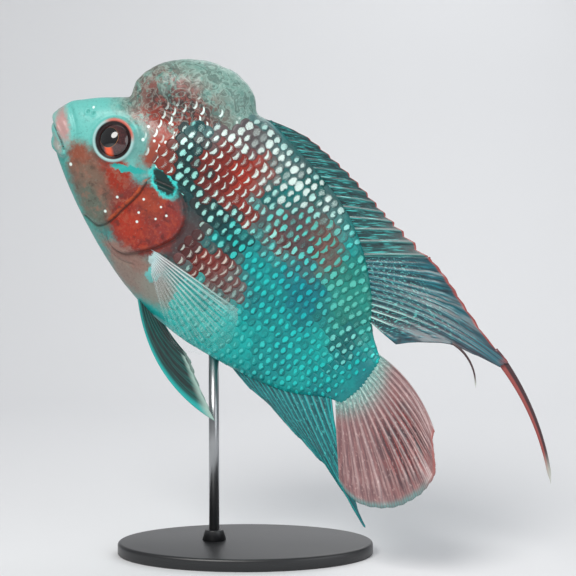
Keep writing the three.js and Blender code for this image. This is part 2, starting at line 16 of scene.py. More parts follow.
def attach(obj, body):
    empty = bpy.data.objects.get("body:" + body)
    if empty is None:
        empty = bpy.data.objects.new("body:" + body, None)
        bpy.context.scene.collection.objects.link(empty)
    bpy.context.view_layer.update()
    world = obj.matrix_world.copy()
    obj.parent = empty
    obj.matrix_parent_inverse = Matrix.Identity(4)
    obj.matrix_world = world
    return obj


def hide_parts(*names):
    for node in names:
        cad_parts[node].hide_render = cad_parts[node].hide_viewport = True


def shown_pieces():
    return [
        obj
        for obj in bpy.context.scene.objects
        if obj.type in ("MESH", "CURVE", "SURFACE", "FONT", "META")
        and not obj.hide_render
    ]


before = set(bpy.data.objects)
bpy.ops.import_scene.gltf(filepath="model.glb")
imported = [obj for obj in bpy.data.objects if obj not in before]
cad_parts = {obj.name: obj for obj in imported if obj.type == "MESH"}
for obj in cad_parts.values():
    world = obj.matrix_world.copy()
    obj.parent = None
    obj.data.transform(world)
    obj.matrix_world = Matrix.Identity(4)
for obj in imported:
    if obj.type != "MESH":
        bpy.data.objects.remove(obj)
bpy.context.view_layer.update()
MM = 0.001
print("CAD nodes:", len(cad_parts))

# %% [markdown]
# The trunk is a row of sections. Each section needs its top, its bottom and its half width
# at a distance u from the snout. Smooth curves through a few named points give all three, so
# the profile can be changed by moving one number.

# %% Profile of the trunk
BACK_LINE = [(-2.2, 9.5), (0, 15.5), (2, 18), (10, 26.2), (20.8, 35.5), (45, 53.5), (76, 69)]
BACK_LINE += [(98, 67.8), (131, 62), (152, 53), (171, 39.5), (181, 29), (190, 25), (194.5, 24.6)]
BELLY_LINE = [(-2.2, 6.5), (0, 2.5), (4, -3.2), (13, -10.2), (31, -20.2), (51, -29), (73, -36.2)]
BELLY_LINE += [(94, -39.4), (116, -38.6), (141, -33.2), (157, -28), (172, -20.8), (186, -11)]
BELLY_LINE += [(194.5, -8.8)]
HALF_WIDTH = [(-2.2, 2.6), (0, 5), (4, 8), (12, 11), (29, 15.6), (50, 18.9), (74, 20), (98, 18.8)]
HALF_WIDTH += [(131, 13.6), (157, 8.8), (178, 5.2), (194.5, 3.2)]
WIDEST_LEVEL = 0.45
SECTION_POWER = 2.12
TAIL_ROUNDING = 3


def through(keys):
    """A smooth curve through (x, y) keys, flat beyond its ends."""
    x, y = np.array(keys, float).T
    before = np.maximum(np.arange(len(x)) - 1, 0)
    after = np.minimum(np.arange(len(x)) + 1, len(x) - 1)
    slope = (y[after] - y[before]) / (x[after] - x[before])

    def curve(at):
        at = np.clip(np.asarray(at, float), x[0], x[-1])
        k = np.clip(np.searchsorted(x, at), 1, len(x) - 1)
        span = x[k] - x[k - 1]
        t = (at - x[k - 1]) / span
        a = t * t * (3 - 2 * t)
        b = t * (1 - t) ** 2
        c = t * t * (t - 1)
        return y[k - 1] * (1 - a) + y[k] * a + span * (slope[k - 1] * b + slope[k] * c)

    return curve


back_line = through(BACK_LINE)
belly_line = through(BELLY_LINE)
half_width = through(HALF_WIDTH)


def section(u):
    """Level of the widest place, height above it, depth below it and half width at u."""
    top, bottom = back_line(u), belly_line(u)
    level = bottom + (top - bottom) * WIDEST_LEVEL
    return level, top - level, level - bottom, half_width(u)


def side_at(u, w):
    """Half width of the trunk at u and height w."""
    level, up, down, half = section(u)
    share = np.minimum(np.abs(w - level) / np.where(w > level, up, down), 0.999)
    return half * (1 - share**SECTION_POWER) ** (1 / SECTION_POWER)


def smooth(low, high, x):
    t = np.clip((x - low) / (high - low), 0, 1)
    return t * t * (3 - 2 * t)


print("deepest section:", round(float(back_line(85) - belly_line(85)), 1), "mm")

# %% [markdown]
# The fish bends its tail to its own left, towards the viewer, and swims head-up with a
# slight bank. One function follows the bent spine, and one turns the whole fish and sets its
# snout in place. Both work on arrays of points, because the skin has many thousands of them.

# %% Pose of the fish
PITCH = math.radians(40)
BANK = math.radians(10)
SNOUT = np.array([-92.5, 0.0, 206.5])
BEND_START, BEND_END, BEND_ANGLE = 80, 215, math.radians(33)

spine_u = np.arange(0, 700, 0.5)


def heading(u):
    return BEND_ANGLE * smooth(BEND_START, BEND_END, np.asarray(u, float))


middle = heading(spine_u[:-1] + 0.25)
spine_x = np.concatenate([[0], np.cumsum(0.5 * np.cos(middle))])
spine_y = np.concatenate([[0], np.cumsum(-0.5 * np.sin(middle))])


def bend(points):
    """Points of the straight fish, carried along by its bent spine."""
    u, v, w = np.asarray(points, float).reshape(-1, 3).T
    turn = heading(u)
    x = np.where(u < 0, u, np.interp(u, spine_u, spine_x))
    y = np.where(u < 0, 0, np.interp(u, spine_u, spine_y))
    return np.stack([x + v * np.sin(turn), y + v * np.cos(turn), w], axis=1)


def over_stand(points):
    """Points of the bent fish, pitched, banked and set over the stand, in metres."""
    x, y, z = points.T
    across = y * math.cos(BANK) - z * math.sin(BANK)
    upright = y * math.sin(BANK) + z * math.cos(BANK)
    ahead = x * math.cos(PITCH) + upright * math.sin(PITCH)
    height = upright * math.cos(PITCH) - x * math.sin(PITCH)
    return (np.stack([ahead, across, height], axis=1) + SNOUT) * MM


def new_mesh(name, vertices, faces):
    mesh = bpy.data.meshes.new(name)
    mesh.from_pydata(np.asarray(vertices).tolist(), [], faces)
    mesh.validate()
    return mesh


def new_object(name, mesh):
    piece = bpy.data.objects.new(name, mesh)
    bpy.context.scene.collection.objects.link(piece)
    for polygon in mesh.polygons:
        polygon.use_smooth = True
    return piece


def note(mesh, name, values):
    """Keeps three numbers on every vertex, for the finishes to read."""
    layer = mesh.attributes.new(name, "FLOAT_VECTOR", "POINT")
    layer.data.foreach_set("vector", np.asarray(values, np.float32).ravel())


def points_of(mesh):
    flat = np.empty(len(mesh.vertices) * 3)
    mesh.vertices.foreach_get("co", flat)
    return flat.reshape(-1, 3)


print("tail turns", round(math.degrees(float(heading(195)))), "degrees")

# %% [markdown]
# The body is first built from overlapping closed forms: trunk, forehead hump and lips. A
# voxel remesh melts them into one closed skin, which Boolean tools would leave with hard
# seams. Smoothing along the hump's seam then lets its flesh run into the nape and cheeks.

# %% Rough forms of the body
HUMP_CENTRE = np.array([46.0, 0, 53.0])
HUMP_TILT = math.radians(34)
HUMP_RADII = np.array([30.0, 15.2, 20.2])
HUMP_COS, HUMP_SIN = math.cos(HUMP_TILT), math.sin(HUMP_TILT)
HUMP_TURN = np.array([[HUMP_COS, 0, HUMP_SIN], [0, 1, 0], [-HUMP_SIN, 0, HUMP_COS]])
UPPER_LIP = ([(14, 9.4, -1), (6.2, 7.4, 3.8), (1.9, 0, 5.6)], 4, 2.1)
LOWER_LIP = ([(13.6, 9.4, -4.4), (8.6, 7.2, -4.4), (5.4, 0, -3.2)], 2.1, 1.5)


def ring_faces(rings, sides):
    """Faces of a closed tube whose vertices are: first end, then the rings, then the last end."""
    k = np.arange(sides)
    after = (k + 1) % sides
    faces = []
    for r in range(rings - 1):
        a = 1 + r * sides
        b = a + sides
        faces += np.stack([a + k, a + after, b + after, b + k], axis=1).tolist()
    end = rings * sides + 1
    faces += [[0, 1 + n, 1 + i] for i, n in zip(k, after)]
    faces += [[end, end - sides + i, end - sides + n] for i, n in zip(k, after)]
    return faces


def trunk_form(stations=120, sides=96):
    start, finish = BACK_LINE[0][0], BACK_LINE[-1][0]
    t = np.linspace(0, 1, stations)
    u = start + (finish - start) * (0.5 * t + 0.25 * (1 - np.cos(np.pi * t)))
    angle = 2 * np.pi * np.arange(sides) / sides
    level, up, down, half = section(u)
    power = 2 / SECTION_POWER
    across = np.sign(np.sin(angle)) * np.abs(np.sin(angle)) ** power
    along = np.sign(np.cos(angle)) * np.abs(np.cos(angle)) ** power
    height = np.where(along > 0, up[:, None], down[:, None]) * along
    rings = np.stack(
        [np.repeat(u[:, None], sides, 1), half[:, None] * across, level[:, None] + height], 2
    )
    nose = [start - 0.8, 0, section(start)[0]]
    tail = [finish + TAIL_ROUNDING, 0, section(finish)[0]]
    points = np.vstack([[nose], rings.reshape(-1, 3), [tail]])
    return points, ring_faces(stations, sides)


def hump_form():
    ball = bmesh.new()
    bmesh.ops.create_icosphere(ball, subdivisions=6, radius=1)
    points = np.array([v.co for v in ball.verts]) * HUMP_RADII
    faces = [[v.index for v in f.verts] for f in ball.faces]
    ball.free()
    return points @ HUMP_TURN + HUMP_CENTRE, faces


def lip_form(lip, steps=48, sides=24):
    (corner, side, front), thick, thin = lip
    right = np.array([corner, side, front])
    left = right[:2] * [1, -1, 1]
    keys = np.vstack([left, right[::-1]])
    t = np.linspace(0, 1, steps)
    knots = np.linspace(0, 1, len(keys))
    centre = np.stack([through(list(zip(knots, keys[:, i])))(t) for i in range(3)], 1)
    along = np.gradient(centre, axis=0)
    along /= np.linalg.norm(along, axis=1)[:, None]
    across = np.cross([0, 0, 1], along)
    across /= np.linalg.norm(across, axis=1)[:, None]
    upright = np.cross(along, across)
    radius = thin + (thick - thin) * np.sin(np.pi * t)
    angle = 2 * np.pi * np.arange(sides) / sides
    cos, sin = np.cos(angle)[None, :, None], np.sin(angle)[None, :, None]
    arm = cos * across[:, None] + sin * upright[:, None]
    rings = centre[:, None] + arm * radius[:, None, None]
    points = np.vstack([[centre[0]], rings.reshape(-1, 3), [centre[-1]]])
    return points, ring_faces(steps, sides)


forms = [trunk_form(), hump_form(), lip_form(UPPER_LIP), lip_form(LOWER_LIP)]
rough_points = np.vstack([points for points, _ in forms])
rough_faces = []
offset = 0
for points, faces in forms:
    rough_faces += [[i + offset for i in face] for face in faces]
    offset += len(points)
print("rough forms:", len(rough_faces), "faces")

# %% [markdown]
# A voxel remesh fills the forms with small cubes and wraps one new skin round them. Its cubes
# are 1 mm, fine enough for the lips, and one subdivision afterwards gives the head's folds
# enough vertices. In clay, this is the step where added lumps are smeared into the body.

# %% Melt the forms into one skin
VOXEL = 1.0 * MM
HUMP_MEAN_RADIUS = 18
SEAM_REACH = 3.2
SMOOTHING_STEPS, EVEN_STEPS, STEP_SHARE = 60, 4, 0.6


def applied(piece):
    """The mesh of a piece with its modifiers applied. The piece itself is removed."""
    graph = bpy.context.evaluated_depsgraph_get()
    mesh = bpy.data.meshes.new_from_object(piece.evaluated_get(graph))
    bpy.data.objects.remove(piece)
    return mesh


rough = new_object("rough", new_mesh("rough", rough_points * MM, rough_faces))
fix = bmesh.new()
fix.from_mesh(rough.data)
bmesh.ops.recalc_face_normals(fix, faces=fix.faces)
fix.to_mesh(rough.data)
fix.free()
melt = rough.modifiers.new("melt", "REMESH")
melt.mode = "VOXEL"
melt.voxel_size = VOXEL
melted = applied(rough)
skin_points = points_of(melted) / MM


def neighbours_mean(mesh, points):
    """Mean of each vertex's neighbours."""
    pairs = np.empty(len(mesh.edges) * 2, int)
    mesh.edges.foreach_get("vertices", pairs)
    a, b = pairs.reshape(-1, 2).T
    total = np.zeros_like(points)
    count = np.bincount(np.concatenate([a, b]), minlength=len(points))
    for axis in range(3):
        total[:, axis] = np.bincount(a, points[b, axis], len(points))
        total[:, axis] += np.bincount(b, points[a, axis], len(points))
    return total / count[:, None]


def hump_depth(points):
    """Rough distance in millimetres outside the hump's ellipsoid."""
    local = ((points - HUMP_CENTRE) @ HUMP_TURN.T) / HUMP_RADII
    return (np.linalg.norm(local, axis=1) - 1) * HUMP_MEAN_RADIUS


def trunk_depth(points):
    """Rough distance in millimetres outside the trunk."""
    u, v, w = points.T
    level, up, down, half = section(u)
    tall = np.abs(w - level) / np.where(w > level, up, down)
    share = ((np.abs(v) / half) ** SECTION_POWER + tall**SECTION_POWER) ** (1 / SECTION_POWER)
    return (share - 1) * half


reach = np.hypot(hump_depth(skin_points), trunk_depth(skin_points))
sides_only = smooth(1.5, 8, np.abs(skin_points[:, 1]))
seam = np.exp(-((reach / SEAM_REACH) ** 2)) * (0.25 + 0.75 * sides_only)
for step in range(SMOOTHING_STEPS):
    share = np.maximum(seam, 0.5 if step < EVEN_STEPS else 0)[:, None]
    skin_points += share * STEP_SHARE * (neighbours_mean(melted, skin_points) - skin_points)
melted.vertices.foreach_set("co", (skin_points * MM).ravel())
finer = new_object("finer", melted)
finer.modifiers.new("finer", "SUBSURF").levels = 1
skin_mesh = applied(finer)
skin_points = points_of(skin_mesh) / MM
print("skin:", len(skin_mesh.vertices), "vertices")

# %% [markdown]
# Remeshing wipes out anything finer than a voxel, so mouth, gill cover, cheek groove,
# nostrils and eye sockets come now, as moves of the finished skin along its own normals.
# Each one is a short formula of the distance to a named line or point on the fish's side.

# %% Lines and places of the head
EYE_U, EYE_W, EYE_RADIUS, EYE_DEPTH, EYE_BULGE = 29.3, 17.6, 8.5, 5.2, 2.1
EYE_FORWARD, EYE_UPWARD = math.radians(14), math.radians(6)
GILL_EDGE = [(51.8, 12.6), (60.5, 17.4), (70.5, 19), (78, 12.6), (80.6, 4), (77.8, -4.8)]
GILL_EDGE += [(72, -14), (65.5, -21.4), (57.5, -21.8), (51.4, -15.5), (50.8, -2)]
GILL_LIFT = 1.2
CHEEK_GROOVE = [(54, 13), (54.6, 6), (53.2, -4), (51.8, -13), (48, -20), (40, -21)]
THROAT_FOLD = [(51, -21.5), (58, -25.5), (66, -26), (73, -23)]
MOUTH_LINE = [(-3, 3.6), (3, 2.6), (8.5, 0.4), (13, -2.2)]
JAW_FOLD = [(-1, 15.5), (5, 13.2), (11, 9.4), (15.4, 4.2), (16.6, -1.5), (15, -7)]
NOSTRILS = [(10.8, 19), (13.4, 20.2)]
# Ridges and grooves beside a line: height, distance from the line and width.
GILL_RIDGE, GILL_DITCH = (0.5, 1.6, 1.3), (-0.55, -0.7, 0.7)
CHEEK_DITCH, CHEEK_RIDGE = (-1.0, 0, 0.65), (0.55, -2.0, 1.3)
LIP_RIDGE, MOUTH_CUT = (0.9, 2.2, 1.5), (-1.9, 0, 0.6)
NOSTRIL_RIM, NOSTRIL_HOLE = (0.4, 1.2, 0.45), (-1.1, 0, 0.7)
FOLDS = [(THROAT_FOLD, (-0.7, 0, 0.7)), (JAW_FOLD, (-0.75, 0, 1.0))]
EYE_RINGS = [(1.15, 1.0, 1.25), (-0.35, 3.6, 1.3)]
# Lobes at the pectoral fin's root: place, radius and height.
LOBES = [(83, -19.5, 3.6, 1.5), (78.5, -13, 2.2, 1.0)]
HEAD_END, LINES_END = 88, 90
FOLD_POINTS = 30


def eye_frame(side):
    """Centre of an eye and the direction it looks in, on the fish's right (1) or left (-1)."""
    out = np.array([-math.sin(EYE_FORWARD), side * math.cos(EYE_FORWARD), math.sin(EYE_UPWARD)])
    out /= np.linalg.norm(out)
    centre = np.array([EYE_U, side * float(side_at(EYE_U, EYE_W)), EYE_W])
    return centre + out * (EYE_BULGE - EYE_DEPTH), out


def smooth_line(points, count, closed=False):
    """Evenly spread points of a smooth line through a few (u, w) points."""
    keys = np.array(points, float)
    if closed:
        keys = np.vstack([keys[-2:], keys, keys[:3]])
    knots = np.arange(len(keys))
    first, last = (2, len(keys) - 3) if closed else (0, len(keys) - 1)
    t = np.linspace(first, last, count)
    return np.stack([through(list(zip(knots, keys[:, i])))(t) for i in range(2)], 1)


def line_distance(line, places):
    """Distance from (u, w) places to a line, and which side of it they are on."""
    best = np.full(len(places), 1e9)
    side = np.zeros(len(places))
    for a, b in zip(line[:-1], line[1:]):
        along = b - a
        t = np.clip(((places - a) @ along) / (along @ along), 0, 1)
        gap = places - a - t[:, None] * along
        distance = np.linalg.norm(gap, axis=1)
        nearer = distance < best
        best[nearer] = distance[nearer]
        turned = along[0] * gap[:, 1] - along[1] * gap[:, 0]
        side[nearer] = np.sign(turned[nearer])
    return best, side


def normals_of(mesh):
    flat = np.empty(len(mesh.vertices) * 3)
    mesh.vertex_normals.foreach_get("vector", flat)
    return flat.reshape(-1, 3)


GILL_LINE = smooth_line(GILL_EDGE, 66, closed=True)
GILL_MIDDLE = np.array([[65.0, -1.0]])
GILL_INNER_SIDE = line_distance(GILL_LINE, GILL_MIDDLE)[1][0]
CHEEK_LINE = smooth_line(CHEEK_GROOVE, 60)
LIPS_LINE = smooth_line(MOUTH_LINE, 24)


def inside_gill(places):
    """Signed distance in millimetres inside the gill cover's outline."""
    distance, side = line_distance(GILL_LINE, places)
    return distance * np.where(side == GILL_INNER_SIDE, 1, -1)


print("gill cover's edge:", len(GILL_LINE), "points")


# %% Moves of the head's skin
def ridge_height(distance, shape):
    """Height of a (height, place, width) ridge, or groove, at a distance from its line."""
    height, place, width = shape
    return height * np.exp(-(((distance - place) / width) ** 2))


def head_details(points):
    """How far each vertex moves along its normal."""
    places = points[:, [0, 2]]
    move = np.zeros(len(points))
    on_head = np.where(points[:, 0] < HEAD_END)[0]
    near = places[on_head]
    flank = smooth(2, 5, np.abs(points[on_head, 1]))
    inside = inside_gill(near)
    rear = smooth(51, 57, near[:, 0])
    lift = GILL_LIFT * smooth(-0.3, 1.1, inside) * rear
    lift += (ridge_height(inside, GILL_RIDGE) + ridge_height(inside, GILL_DITCH)) * rear
    move[on_head] += lift * flank
    distance, side = line_distance(CHEEK_LINE, near)
    groove = ridge_height(distance, CHEEK_DITCH) + ridge_height(distance * side, CHEEK_RIDGE)
    move[on_head] += groove * flank
    for line, fold in FOLDS:
        distance, _ = line_distance(smooth_line(line, FOLD_POINTS), near)
        move[on_head] += ridge_height(distance, fold) * flank
    distance, _ = line_distance(LIPS_LINE, near)
    move[on_head] += ridge_height(distance, LIP_RIDGE) + ridge_height(distance, MOUTH_CUT)
    for u, w in NOSTRILS:
        distance = np.hypot(near[:, 0] - u, near[:, 1] - w)
        move[on_head] += (ridge_height(distance, NOSTRIL_RIM) + ridge_height(distance, NOSTRIL_HOLE)) * flank
    for u, w, radius, height in LOBES:
        distance = np.hypot(places[:, 0] - u, places[:, 1] - w)
        move += ridge_height(distance, (height, 0, radius))
    return move


def roughness_of(points, size, seed):
    """Gentle noise between -1 and 1 over the points."""
    scaled = points / size + seed
    return np.array([noise.noise(Vector(p)) for p in scaled])


def round_eye(points, side):
    """Each point's height along an eye's axis, its distance from that axis, and the axis."""
    centre, out = eye_frame(side)
    gap = points - centre
    depth = gap @ out
    return depth, np.linalg.norm(gap - depth[:, None] * out, axis=1), out


# The tail's root is thinned first, so that the tail fin's rays grow out of a flat edge.
thin = smooth(182, 197, skin_points[:, 0])
skin_points[:, 1] *= 1 - 0.35 * thin
skin_points[:, 2] += (8 - skin_points[:, 2]) * 0.13 * thin
normals = normals_of(skin_mesh)
move = head_details(skin_points)
on_hump = smooth(1.5, 5, trunk_depth(skin_points)) * smooth(4, 0, hump_depth(skin_points))
lumps = 0.45 * roughness_of(skin_points, 7, 3.1) + 0.22 * roughness_of(skin_points, 2.6, 7.7)
move += on_hump * lumps
move += 0.1 * roughness_of(skin_points, 5, 11.3)
for side in (1, -1):
    depth, radial, _ = round_eye(skin_points, side)
    facing = smooth(-6, -1, depth)
    for ring in EYE_RINGS:
        move += facing * ridge_height(radial - EYE_RADIUS, ring)
skin_points = skin_points + normals * move[:, None]
for side in (1, -1):
    depth, radial, out = round_eye(skin_points, side)
    cup = EYE_DEPTH * 0.55 - 2.2 * (1 - np.clip(radial / EYE_RADIUS, 0, 1) ** 2)
    share = smooth(EYE_RADIUS + 0.3, EYE_RADIUS - 0.5, radial) * smooth(-8, -3, depth)
    sink = np.maximum(depth - cup, 0) * share
    skin_points = skin_points - sink[:, None] * out
print("deepest move:", round(float(np.abs(move).max()), 2), "mm")

# %% [markdown]
# The finished skin is kept twice: straight, for the scales to be laid on, and bent, as the
# piece itself. Every vertex notes its place on the straight fish and its distance to the
# head's lines. The finishes read both, so their marks bend with the body.

# %% Set the skin in place
FAR_OFF = 50.0
skin_mesh.vertices.foreach_set("co", (skin_points * MM).ravel())
skin_mesh.update()
straight_skin = BVHTree.FromPolygons(
    skin_points.tolist(), [list(p.vertices) for p in skin_mesh.polygons]
)
note(skin_mesh, "place", skin_points)
head_lines = np.full((len(skin_points), 3), FAR_OFF)
on_head = np.where(skin_points[:, 0] < LINES_END)[0]
near = skin_points[on_head][:, [0, 2]]
gap, way = line_distance(CHEEK_LINE, near)
head_lines[on_head, 0] = gap * way
head_lines[on_head, 1] = inside_gill(near)
head_lines[on_head, 2] = line_distance(LIPS_LINE, near)[0]
note(skin_mesh, "lines", head_lines)
skin_mesh.vertices.foreach_set("co", over_stand(bend(skin_points)).ravel())
skin_mesh.update()
skin = new_object("skin", skin_mesh)
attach(skin, "root")
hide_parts("head", "nuchal_hump", "torso", "tail_root", "gill_cover_left", "gill_cover_right")
print("skin in place, with", len(on_head), "vertices near the head's lines")

# %% [markdown]
# A cichlid's scales lie in rows along its side, each overlapping the next one like tiles.
# They could be painted as bump only, but their rear edges catch the light and break the
# outline, so each one is a thin closed plate laid on the skin. They are placed on the
# straight fish, where rows are easy to count along the side, and bent with it.

# %% Where scales lie
SCALE_PITCH = 4.2
ROW_HEIGHT = 4.9
ROW_SHIFT = 1.25
ROWS, COLUMNS = range(-14, 15), range(10, 48)
GIRTH_SAMPLES = 90
SCALE_LENGTH, SCALE_HALF_HEIGHT = 3.3, 3.0
PLATE_STEPS, PLATE_ROWS = 6, 8
SCALE_LIFT = 0.17
SCALE_THICK = 0.1
scatter = np.random.default_rng(7)


def row_height(u, arc):
    """Height w at which the body's side has an arc length from its widest level."""
    level, up, down, half = section(u)
    reach = (up if arc > 0 else down) * 0.985
    w = level + np.sign(arc) * np.linspace(0, reach, GIRTH_SAMPLES)
    v = side_at(np.full(GIRTH_SAMPLES, u), w)
    length = np.concatenate([[0], np.cumsum(np.hypot(np.diff(v), np.diff(w)))])
    if abs(arc) > length[-1]:
        return None
    return float(np.interp(abs(arc), length, w))


def scaled_skin(u, w):
    """How far in millimetres a place lies inside the scaled part of the side."""
    behind_gill = -float(inside_gill(np.array([[u, w]]))[0]) - 0.8
    under_hump = (42 + 0.62 * (u - 38) - w) * 0.85 if u < 70 else 30
    if ((u - 60) / 9) ** 2 + ((w - 18.5) / 4.6) ** 2 < 1:
        return -1
    if w > 19:
        return min(u - 46.5 - 0.05 * abs(w - 30), behind_gill, under_hump)
    behind = 82.5 if w > -7 else 90 - 0.35 * (w + 7)
    return min(u - behind, behind_gill, 194 - u - 0.012 * (w - 8) ** 2)


print("rows of scales:", len(ROWS), "with up to", len(COLUMNS), "each")

# %% Shape of one scale
plate_s = np.linspace(-1, 1, PLATE_STEPS)
plate_t = np.linspace(-1, 1, PLATE_ROWS)
plate_S, plate_T = np.meshgrid(plate_s, plate_t, indexing="ij")
plate_reach = np.sqrt(np.clip(1 - np.abs(plate_T) ** 2.3, 0, 1)) * 0.86 + 0.14


def scale_plate(root, along, upward, size, lift, sink):
    """Top vertices of one plate on the skin, with its own coordinates."""
    s = plate_S * plate_reach
    du = s * SCALE_LENGTH * size
    dw = plate_T * SCALE_HALF_HEIGHT * size
    spots = root + du[..., None] * along + dw[..., None] * upward
    top, bottom = [], []
    for spot, share_s, share_t in zip(spots.reshape(-1, 3), s.ravel(), plate_T.ravel()):
        hit, normal, _, _ = straight_skin.find_nearest(spot)
        rise = lift * (0.5 + 0.5 * share_s) ** 0.8 * (1 - 0.4 * share_t**2) - sink
        top.append(hit + normal * (rise + SCALE_THICK / 2))
        bottom.append(hit + normal * (rise - SCALE_THICK / 2 - 0.12))
    return np.array(top), np.array(bottom), s


def sheet_faces(columns, rows):
    """Faces of a closed thin sheet: its top, its bottom and the rim between them."""
    index = np.arange(columns * rows).reshape(columns, rows)
    a, b, c, d = index[:-1, :-1], index[1:, :-1], index[1:, 1:], index[:-1, 1:]
    top = np.stack([a, b, c, d], -1).reshape(-1, 4)
    bottom = top[:, ::-1] + index.size
    loop = np.concatenate([index[:, 0], index[-1, 1:], index[-2::-1, -1], index[0, -2:0:-1]])
    after = np.roll(loop, -1)
    rim = np.stack([loop, loop + index.size, after + index.size, after], -1)
    return np.vstack([top, bottom, rim])


ONE_PLATE = sheet_faces(PLATE_STEPS, PLATE_ROWS)
print("one scale:", len(ONE_PLATE), "faces")

# %% Lay the scales
BODY_SPAN, GIRTH_SPAN, PATCH = 210, 150, 0.0015


def bake_map(mesh, unwrapped, local, side):
    """A map with each scale as a small patch at its root, along the body and round its girth."""
    along = 0.02 + 0.96 * (unwrapped[:, 0] + 5) / BODY_SPAN + PATCH * local[:, 0]
    round_girth = 0.46 * (unwrapped[:, 1] / GIRTH_SPAN + 0.5) + PATCH * local[:, 1]
    round_girth += 0.02 if side > 0 else 0.52
    corners = np.empty(len(mesh.loops), int)
    mesh.loops.foreach_get("vertex_index", corners)
    flat = np.stack([along, round_girth], 1)[corners].astype(np.float32)
    mesh.uv_layers.new(name="OFBake").data.foreach_set("uv", flat.ravel())


def lay_scales(side):
    vertices, faces, places, locals_, unwrapped = [], [], [], [], []
    count = 0
    one_plate = ONE_PLATE[:, ::-1] if side > 0 else ONE_PLATE
    for row in ROWS:
        for column in COLUMNS:
            u = column * SCALE_PITCH + (row * ROW_SHIFT) % SCALE_PITCH
            arc = row * ROW_HEIGHT * (1 - 0.25 * smooth(140, 195, u))
            w = row_height(u, arc)
            jitter = scatter.uniform(-1, 1, 3)
            if w is None:
                continue
            inner = scaled_skin(u, w)
            if inner < 0:
                continue
            lift = SCALE_LIFT * (0.3 + 0.7 * float(smooth(0, 10, inner)))
            sink = 0.02 + 0.1 * float(smooth(7, 0, inner))
            v = side * float(side_at(u, w))
            root, normal, _, _ = straight_skin.find_nearest((u, v, w))
            along = Vector((1, 0, 0)) - normal * normal.x
            along.normalize()
            upward = normal.cross(along) * -side
            if upward.z < 0:
                upward = -upward
            size = (1 - 0.32 * smooth(150, 195, u)) * (0.8 + 0.2 * smooth(0, 8, inner))
            root = np.array(root) + 0.25 * jitter[0] * np.array(along)
            top, bottom, s = scale_plate(root, np.array(along), np.array(upward), size, lift, sink)
            base = len(top) * 2 * count
            vertices += [top, bottom]
            faces.append(one_plate + base)
            places.append(np.repeat(root[None], len(top) * 2, 0))
            local = np.stack([s.ravel(), plate_T.ravel(), np.full(s.size, jitter[2])], 1)
            locals_ += [local, local]
            unwrapped.append(np.repeat([[u, arc]], len(top) * 2, 0))
            count += 1
    vertices, places = np.vstack(vertices), np.vstack(places)
    name = "scales_right" if side > 0 else "scales_left"
    mesh = new_mesh(name, over_stand(bend(vertices)), np.vstack(faces).tolist())
    note(mesh, "place", places)
    note(mesh, "scale", np.vstack(locals_))
    bake_map(mesh, np.vstack(unwrapped), np.vstack(locals_), side)
    piece = new_object(name, mesh)
    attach(piece, "root")
    print(name, count, "scales,", len(mesh.polygons), "faces")
    return piece


scales = [lay_scales(side) for side in (1, -1)]

# %% [markdown]
# Each fin is a fan of rays with thin skin between them. A ray starts on the body, leaves it
# at an angle and bends evenly, so two angles and a length describe it. The web between rays
# is drawn through the same points, with more columns and thickness only where rays run.

# %% Rays and the surface between them
RAY_STEPS = 40
WEB_COLUMNS = 8


def ray_points(root, pitch, yaw, length, sunk):
    """Points along one ray in the bent frame: two rows sunk in the body, then its length."""
    t = (np.arange(RAY_STEPS) + 0.5) / RAY_STEPS
    rise = np.radians(pitch[0] + (pitch[1] - pitch[0]) * t)
    turn = heading(root[0]) + np.radians(yaw[0] + (yaw[1] - yaw[0]) * t)
    step = np.stack([np.cos(rise) * np.cos(turn), -np.cos(rise) * np.sin(turn), np.sin(rise)], 1)
    start = bend([root])[0]
    grown = start + np.cumsum(step * length / RAY_STEPS, axis=0)
    return np.vstack([start - step[0] * sunk, start - step[0] * sunk / 2, start, grown])


def across_rays(rays, columns):
    """Smooth surface through neighbouring rays, with several columns from ray to ray."""
    count = len(rays)
    at = np.linspace(0, count - 1, (count - 1) * columns + 1)
    k = np.clip(at.astype(int), 0, count - 2)
    t = (at - k)[:, None, None]
    before, after = rays[np.maximum(k - 1, 0)], rays[np.minimum(k + 2, count - 1)]
    a, b = rays[k], rays[k + 1]
    first = (b - before) / 2
    last = (after - a) / 2
    h = t * t * (3 - 2 * t)
    return at, a * (1 - h) + b * h + first * (t * (1 - t) ** 2) - last * (t * t * (1 - t))


def surface_normals(grid):
    along = np.gradient(grid, axis=1)
    across = np.gradient(grid, axis=0)
    normal = np.cross(across, along)
    return normal / np.maximum(np.linalg.norm(normal, axis=2), 1e-9)[..., None]


def thin_sheet(grid, half_thick):
    """Vertices and faces of a closed thin sheet round a grid of points."""
    columns, rows = grid.shape[:2]
    normal = surface_normals(grid)
    lift = normal * half_thick[..., None]
    vertices = np.concatenate([(grid + lift).reshape(-1, 3), (grid - lift).reshape(-1, 3)])
    return vertices, sheet_faces(columns, rows)


print("a ray has", RAY_STEPS + 3, "points")


# %% From rays to a fin
def ridge_share(at, t, branching, spacing):
    """How much of a ray lies at each place: 1 on its crest, 0 on the web."""
    k = at[:, None]
    nearest = k - np.round(k)
    spread = branching * 0.26 * smooth(0.25, 1.05, t)[None]
    finer = branching * 0.11 * smooth(0.6, 1.05, t)[None]
    gap = np.abs(np.abs(nearest) - spread)
    gap = np.where(finer > 0.001, np.abs(gap - finer), gap)
    wide = (0.42 - 0.22 * t)[None]
    return np.exp(-((gap * np.maximum(spacing, 0.3) / wide) ** 2))


